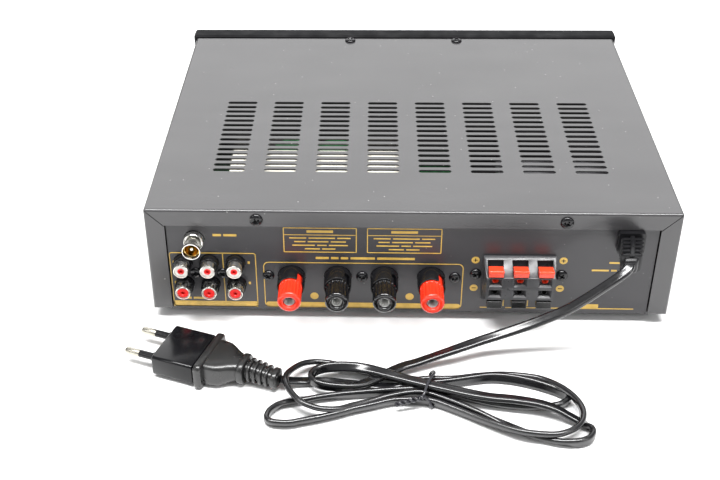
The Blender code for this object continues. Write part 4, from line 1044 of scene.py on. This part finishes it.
def make_posts():
    """Fluted caps that turn on their studs, each with its washer."""
    flutes, segments = 18, 180
    depth = 0.55
    cap_profile = [
        (3.1, 2.3), (5.6, 2.3), (6.2, 2.7), (6.3, 3.2), (6.3, 9.6), (6.3, 10.0, depth),
        (6.3, 20.0, depth), (6.3, 20.6, 0.15), (6.2, 21.0), (5.9, 21.6), (5.3, 21.95),
        (4.8, 22.0), (3.9, 22.0), (3.3, 21.6), (3.1, 21.0),
    ]  # fmt: skip
    stud_profile = [
        (0, -18), (2.8, -18), (2.8, 20.5), (2.7, 20.8), (2.55, 20.8), (2.05, 18.6),
        (2.05, 6.4), (0, 6.4),
    ]  # fmt: skip
    washer_profile = [(3.1, 1.2), (5.4, 1.2), (5.6, 1.4), (5.6, 1.8), (5.4, 2.0), (3.1, 2.0)]
    # Painted shade: a black cup set deep in each stud's bore, which is really plated metal all the
    # way down; only the first few millimetres of the bore stay bright metal.
    bore_shade_profile = [(0, 7.0), (1.95, 7.0), (1.95, 15.4), (2.04, 15.5), (2.04, 6.6), (0, 6.6)]
    metal = "plated_metal"
    for number, x in enumerate(POST_XS, start=1):
        place = facing((0, 1, 0), (x, REAR, POST_Z))
        cap, washer, stud = (f"post_{kind}_{number}" for kind in ("cap", "washer", "stud"))
        paint, slot = (CAP_RED, "post_red") if number in (1, 4) else (CAP_BLACK, "post_black")
        grip = {"segments": segments, "flutes": flutes, "replaces": (cap,), "body": cap}
        lathe(f"cap_{number}", cap_profile, paint, slot, place, **grip)
        ring = {"replaces": (washer,), "body": washer}
        lathe(f"washer_{number}", washer_profile, PLATED, metal, place, **ring)
        # The black cup of painted shade inside the stud's bore.
        lathe(f"bore_painted_shade_{number}", bore_shade_profile, CAP_BLACK, metal, place)
        lathe(f"stud_{number}", stud_profile, STUD_TIN, metal, place, replaces=(stud,))


CLIP_X, CLIP_Z, CLIP_PITCH = -58.2, BASE + 24.0, 13.0


def add_funnel(mesh_data, x, z):
    """A tapered wire lead-in whose widest slope is the lower one."""
    nose = REAR + 10.5
    stations = [(nose + 1.0, 4.3, -3.55, 2.65), (nose - 2.3, 1.75, -0.95, 1.6)]
    rings = []
    for y, half, low, high in stations:
        corners = [(-half, low), (half, low), (half, high), (-half, high)]
        rings.append([Vector((x + a, y, z + b)) for a, b in corners])
    add_rings(mesh_data, rings)


def make_clips():
    block = refined("clip_block", "clip_terminal", CLIP_GREY, "jack_plastic", 0.0, tidy=False)
    funnels = bmesh.new()
    for index in range(3):
        x = CLIP_X + CLIP_PITCH * (1 - index)
        for z in (CLIP_Z + 4.1, CLIP_Z - 2.9):
            add_funnel(funnels, x, z)
    carve(block, funnels)
    soften(block, 0.12, angle=40)
    liners = {True: bmesh.new(), False: bmesh.new()}
    for index in range(3):
        x = CLIP_X + CLIP_PITCH * (1 - index)
        for up in (True, False):
            z = CLIP_Z + (3.5 if up else -3.5) + 0.6
            place = facing((0, 1, 0), (x, REAR + 7.6, z))
            ring = [(1.25, -3), (1.75, -3), (1.75, 0.5), (1.6, 0.8), (1.4, 0.8), (1.25, 0.5)]
            add_lathe(liners[up], ring, place, segments=24)
    piece("red_liners", liners[True], LEVER_RED, "lever_red")
    piece("black_liners", liners[False], LEVER_BLACK, "lever_black")
    for number in (1, 2, 3):
        red, black = f"clip_lever_red_{number}", f"clip_lever_black_{number}"
        refined(red, f"red_lever_{number}", LEVER_RED, "lever_red", 0.35, red, 3)
        refined(black, f"black_lever_{number}", LEVER_BLACK, "lever_black", 0.35, black, 3)


# ---------------------------------------------------------------- front
def knob(node, radius, reach, skirt, flutes):
    """A spun knob with a fluted side, a dished face and a pointer line."""
    x, z = face_middle(node)
    place = facing((0, -1, 0), (x, FACE, z))
    depth = 0.25 if radius < 12 else 0.35
    profile = [
        (0, -9), (3, -9), (3, 0.6), (radius + skirt, 0.6), (radius + skirt, 1.8),
        (radius + skirt - 0.5, 2.4), (radius + 0.2, 2.6), (radius, 3.2), (radius, 3.6, depth),
        (radius * 0.985, reach - 2.0, depth), (radius * 0.975, reach - 1.3),
        (radius * 0.95, reach - 0.5), (radius * 0.90, reach), (radius * 0.84, reach - 0.1),
        (radius * 0.80, reach - 0.45), (0, reach - 0.6),
    ]  # fmt: skip
    lathe(
        node + "_turned",
        profile,
        SATIN_METAL,
        "knob_aluminium",
        place,
        segments=flutes * 6,
        flutes=flutes,
        replaces=(node,),
        body=node,
    )
    line = bmesh.new()
    half = 0.45 if radius < 12 else 0.7
    outline = rounded_rectangle((x - half, z + radius * 0.5), (x + half, z + radius * 0.78), half)
    add_prism(line, outline, 1, FACE - reach + 0.2, FACE - reach + 1.4)
    piece(node + "_pointer", line, JACK_BLACK, "jack_plastic", body=node)


def add_scale(mesh_data, x, z, radius, ticks, size):
    """Dial marks round a knob, from seven o'clock to five o'clock."""
    for tick in range(ticks):
        angle = math.radians(240 - 300 * tick / (ticks - 1))
        turn = Matrix.Rotation(angle - math.pi / 2, 4, "Y").inverted()
        place = Matrix.Translation((x, 0, z)) @ turn
        add_box(
            mesh_data,
            (-size[0] / 2, FACE - 0.08, radius),
            (size[0] / 2, FACE + 0.5, radius + size[1]),
            place,
        )


def make_front():
    refined("front_panel", "front_fascia", FRONT_GLOSS, "front_gloss", 0.25)
    knob("volume_knob", 17.0, 18.0, 2.0, 48)
    for node in ("bass_knob", "treble_knob", "mic_knob"):
        knob(node, 7.4, 13.0, 0.9, 24)
    marks = bmesh.new()
    dials = [("volume_knob", 21.0, 21, (0.6, 2.2))]
    dials += [(node, 10.0, 11, (0.45, 1.4)) for node in ("bass_knob", "treble_knob", "mic_knob")]
    for node, radius, ticks, size in dials:
        add_scale(marks, *face_middle(node), radius, ticks, size)
    piece("dial_marks", marks, JACK_WHITE, "front_gloss")
    for node in ("power_button", "previous_button", "play_button", "next_button"):
        refined(node, node + "_cap", SATIN_METAL, "knob_aluminium", 0.35, node, 3)
    refined("display_window", "window_lens", WINDOW, "window", 0.5, segments=3)
    refined("usb_port", "usb_shell", PLATED, "plated_metal", 0.2)
    low, high = node_box("usb_port")
    tongue = bmesh.new()
    add_box(tongue, (low.x + 1.8, FACE + 1.5, low.z + 4.4), (high.x - 1.8, FACE + 13, low.z + 6.2))
    piece("usb_tongue", tongue, JACK_WHITE, "jack_plastic", bevel=0.2)
    x, z = face_middle("mic_jack")
    place = facing((0, -1, 0), (x, FACE, z))
    jack = [
        (3.25, -17), (6.0, -17), (6.0, 0.3), (8.0, 0.3), (8.0, 1.9), (7.6, 2.4), (7.0, 2.6),
        (5.2, 2.6), (5.0, 2.2), (4.4, 2.2), (4.2, 2.6), (3.5, 2.6), (3.25, 2.2),
    ]  # fmt: skip
    lathe("mic_socket", jack, PLATED, "plated_metal", place, replaces=("mic_jack",))


def make_icons():
    """Plain transport marks over the three small buttons."""
    marks = bmesh.new()
    z = node_box("play_button")[1].z + 3.6
    front, back = FACE - 0.08, FACE + 0.4
    for node in ("previous_button", "play_button", "next_button"):
        x = face_middle(node)[0]
        way = -1 if node == "previous_button" else 1
        triangle = [(x - way * 1.4, z - 1.5), (x - way * 1.4, z + 1.5), (x + way * 1.2, z)]
        add_prism(marks, triangle, 1, front, back)
        if node != "play_button":
            edge = x + way * 1.5
            add_box(marks, (edge - 0.25, front, z - 1.5), (edge + 0.25, back, z + 1.5))
    piece("transport_marks", marks, JACK_WHITE, "front_gloss")


def make_kept_nodes():
    kept = {
        "chassis_tray": TRAY_PAINT, "rear_panel": REAR_PAINT, "transformer_core": LAMINATIONS,
        "transformer_coil": WINDING, "main_board": BOARD, "control_board": BOARD,
        "heatsink": SINK, **{f"foot_{number}": FOOT_RUBBER for number in range(1, 5)},
    }  # fmt: skip
    for node, material in kept.items():
        plain(node, material)


def make_floor():
    size = 6000.0
    mesh_data = bmesh.new()
    add_box(mesh_data, (-size, -size, -20), (size, size, -0.05))
    bmesh.ops.scale(mesh_data, verts=mesh_data.verts, vec=(MM, MM, MM))
    mesh = bpy.data.meshes.new("floor")
    mesh_data.to_mesh(mesh)
    mesh_data.free()
    floor = bpy.data.objects.new("floor", mesh)
    mesh.materials.append(surface("pale_floor", (0.92, 0.92, 0.92), 0.9, mottle=0.005, bump=0.0))
    bpy.context.scene.collection.objects.link(floor)


make_camera()
make_light()
cord, cord_path = make_cord()
plug = make_plug()
adapter = make_adapter()
tie = make_tie()
relief = make_relief()
make_cover()
make_print()
make_screws()
make_phono_sockets()
make_aerial_socket()
make_post_collars()
make_posts()
make_clips()
make_front()
make_icons()
make_kept_nodes()
make_floor()
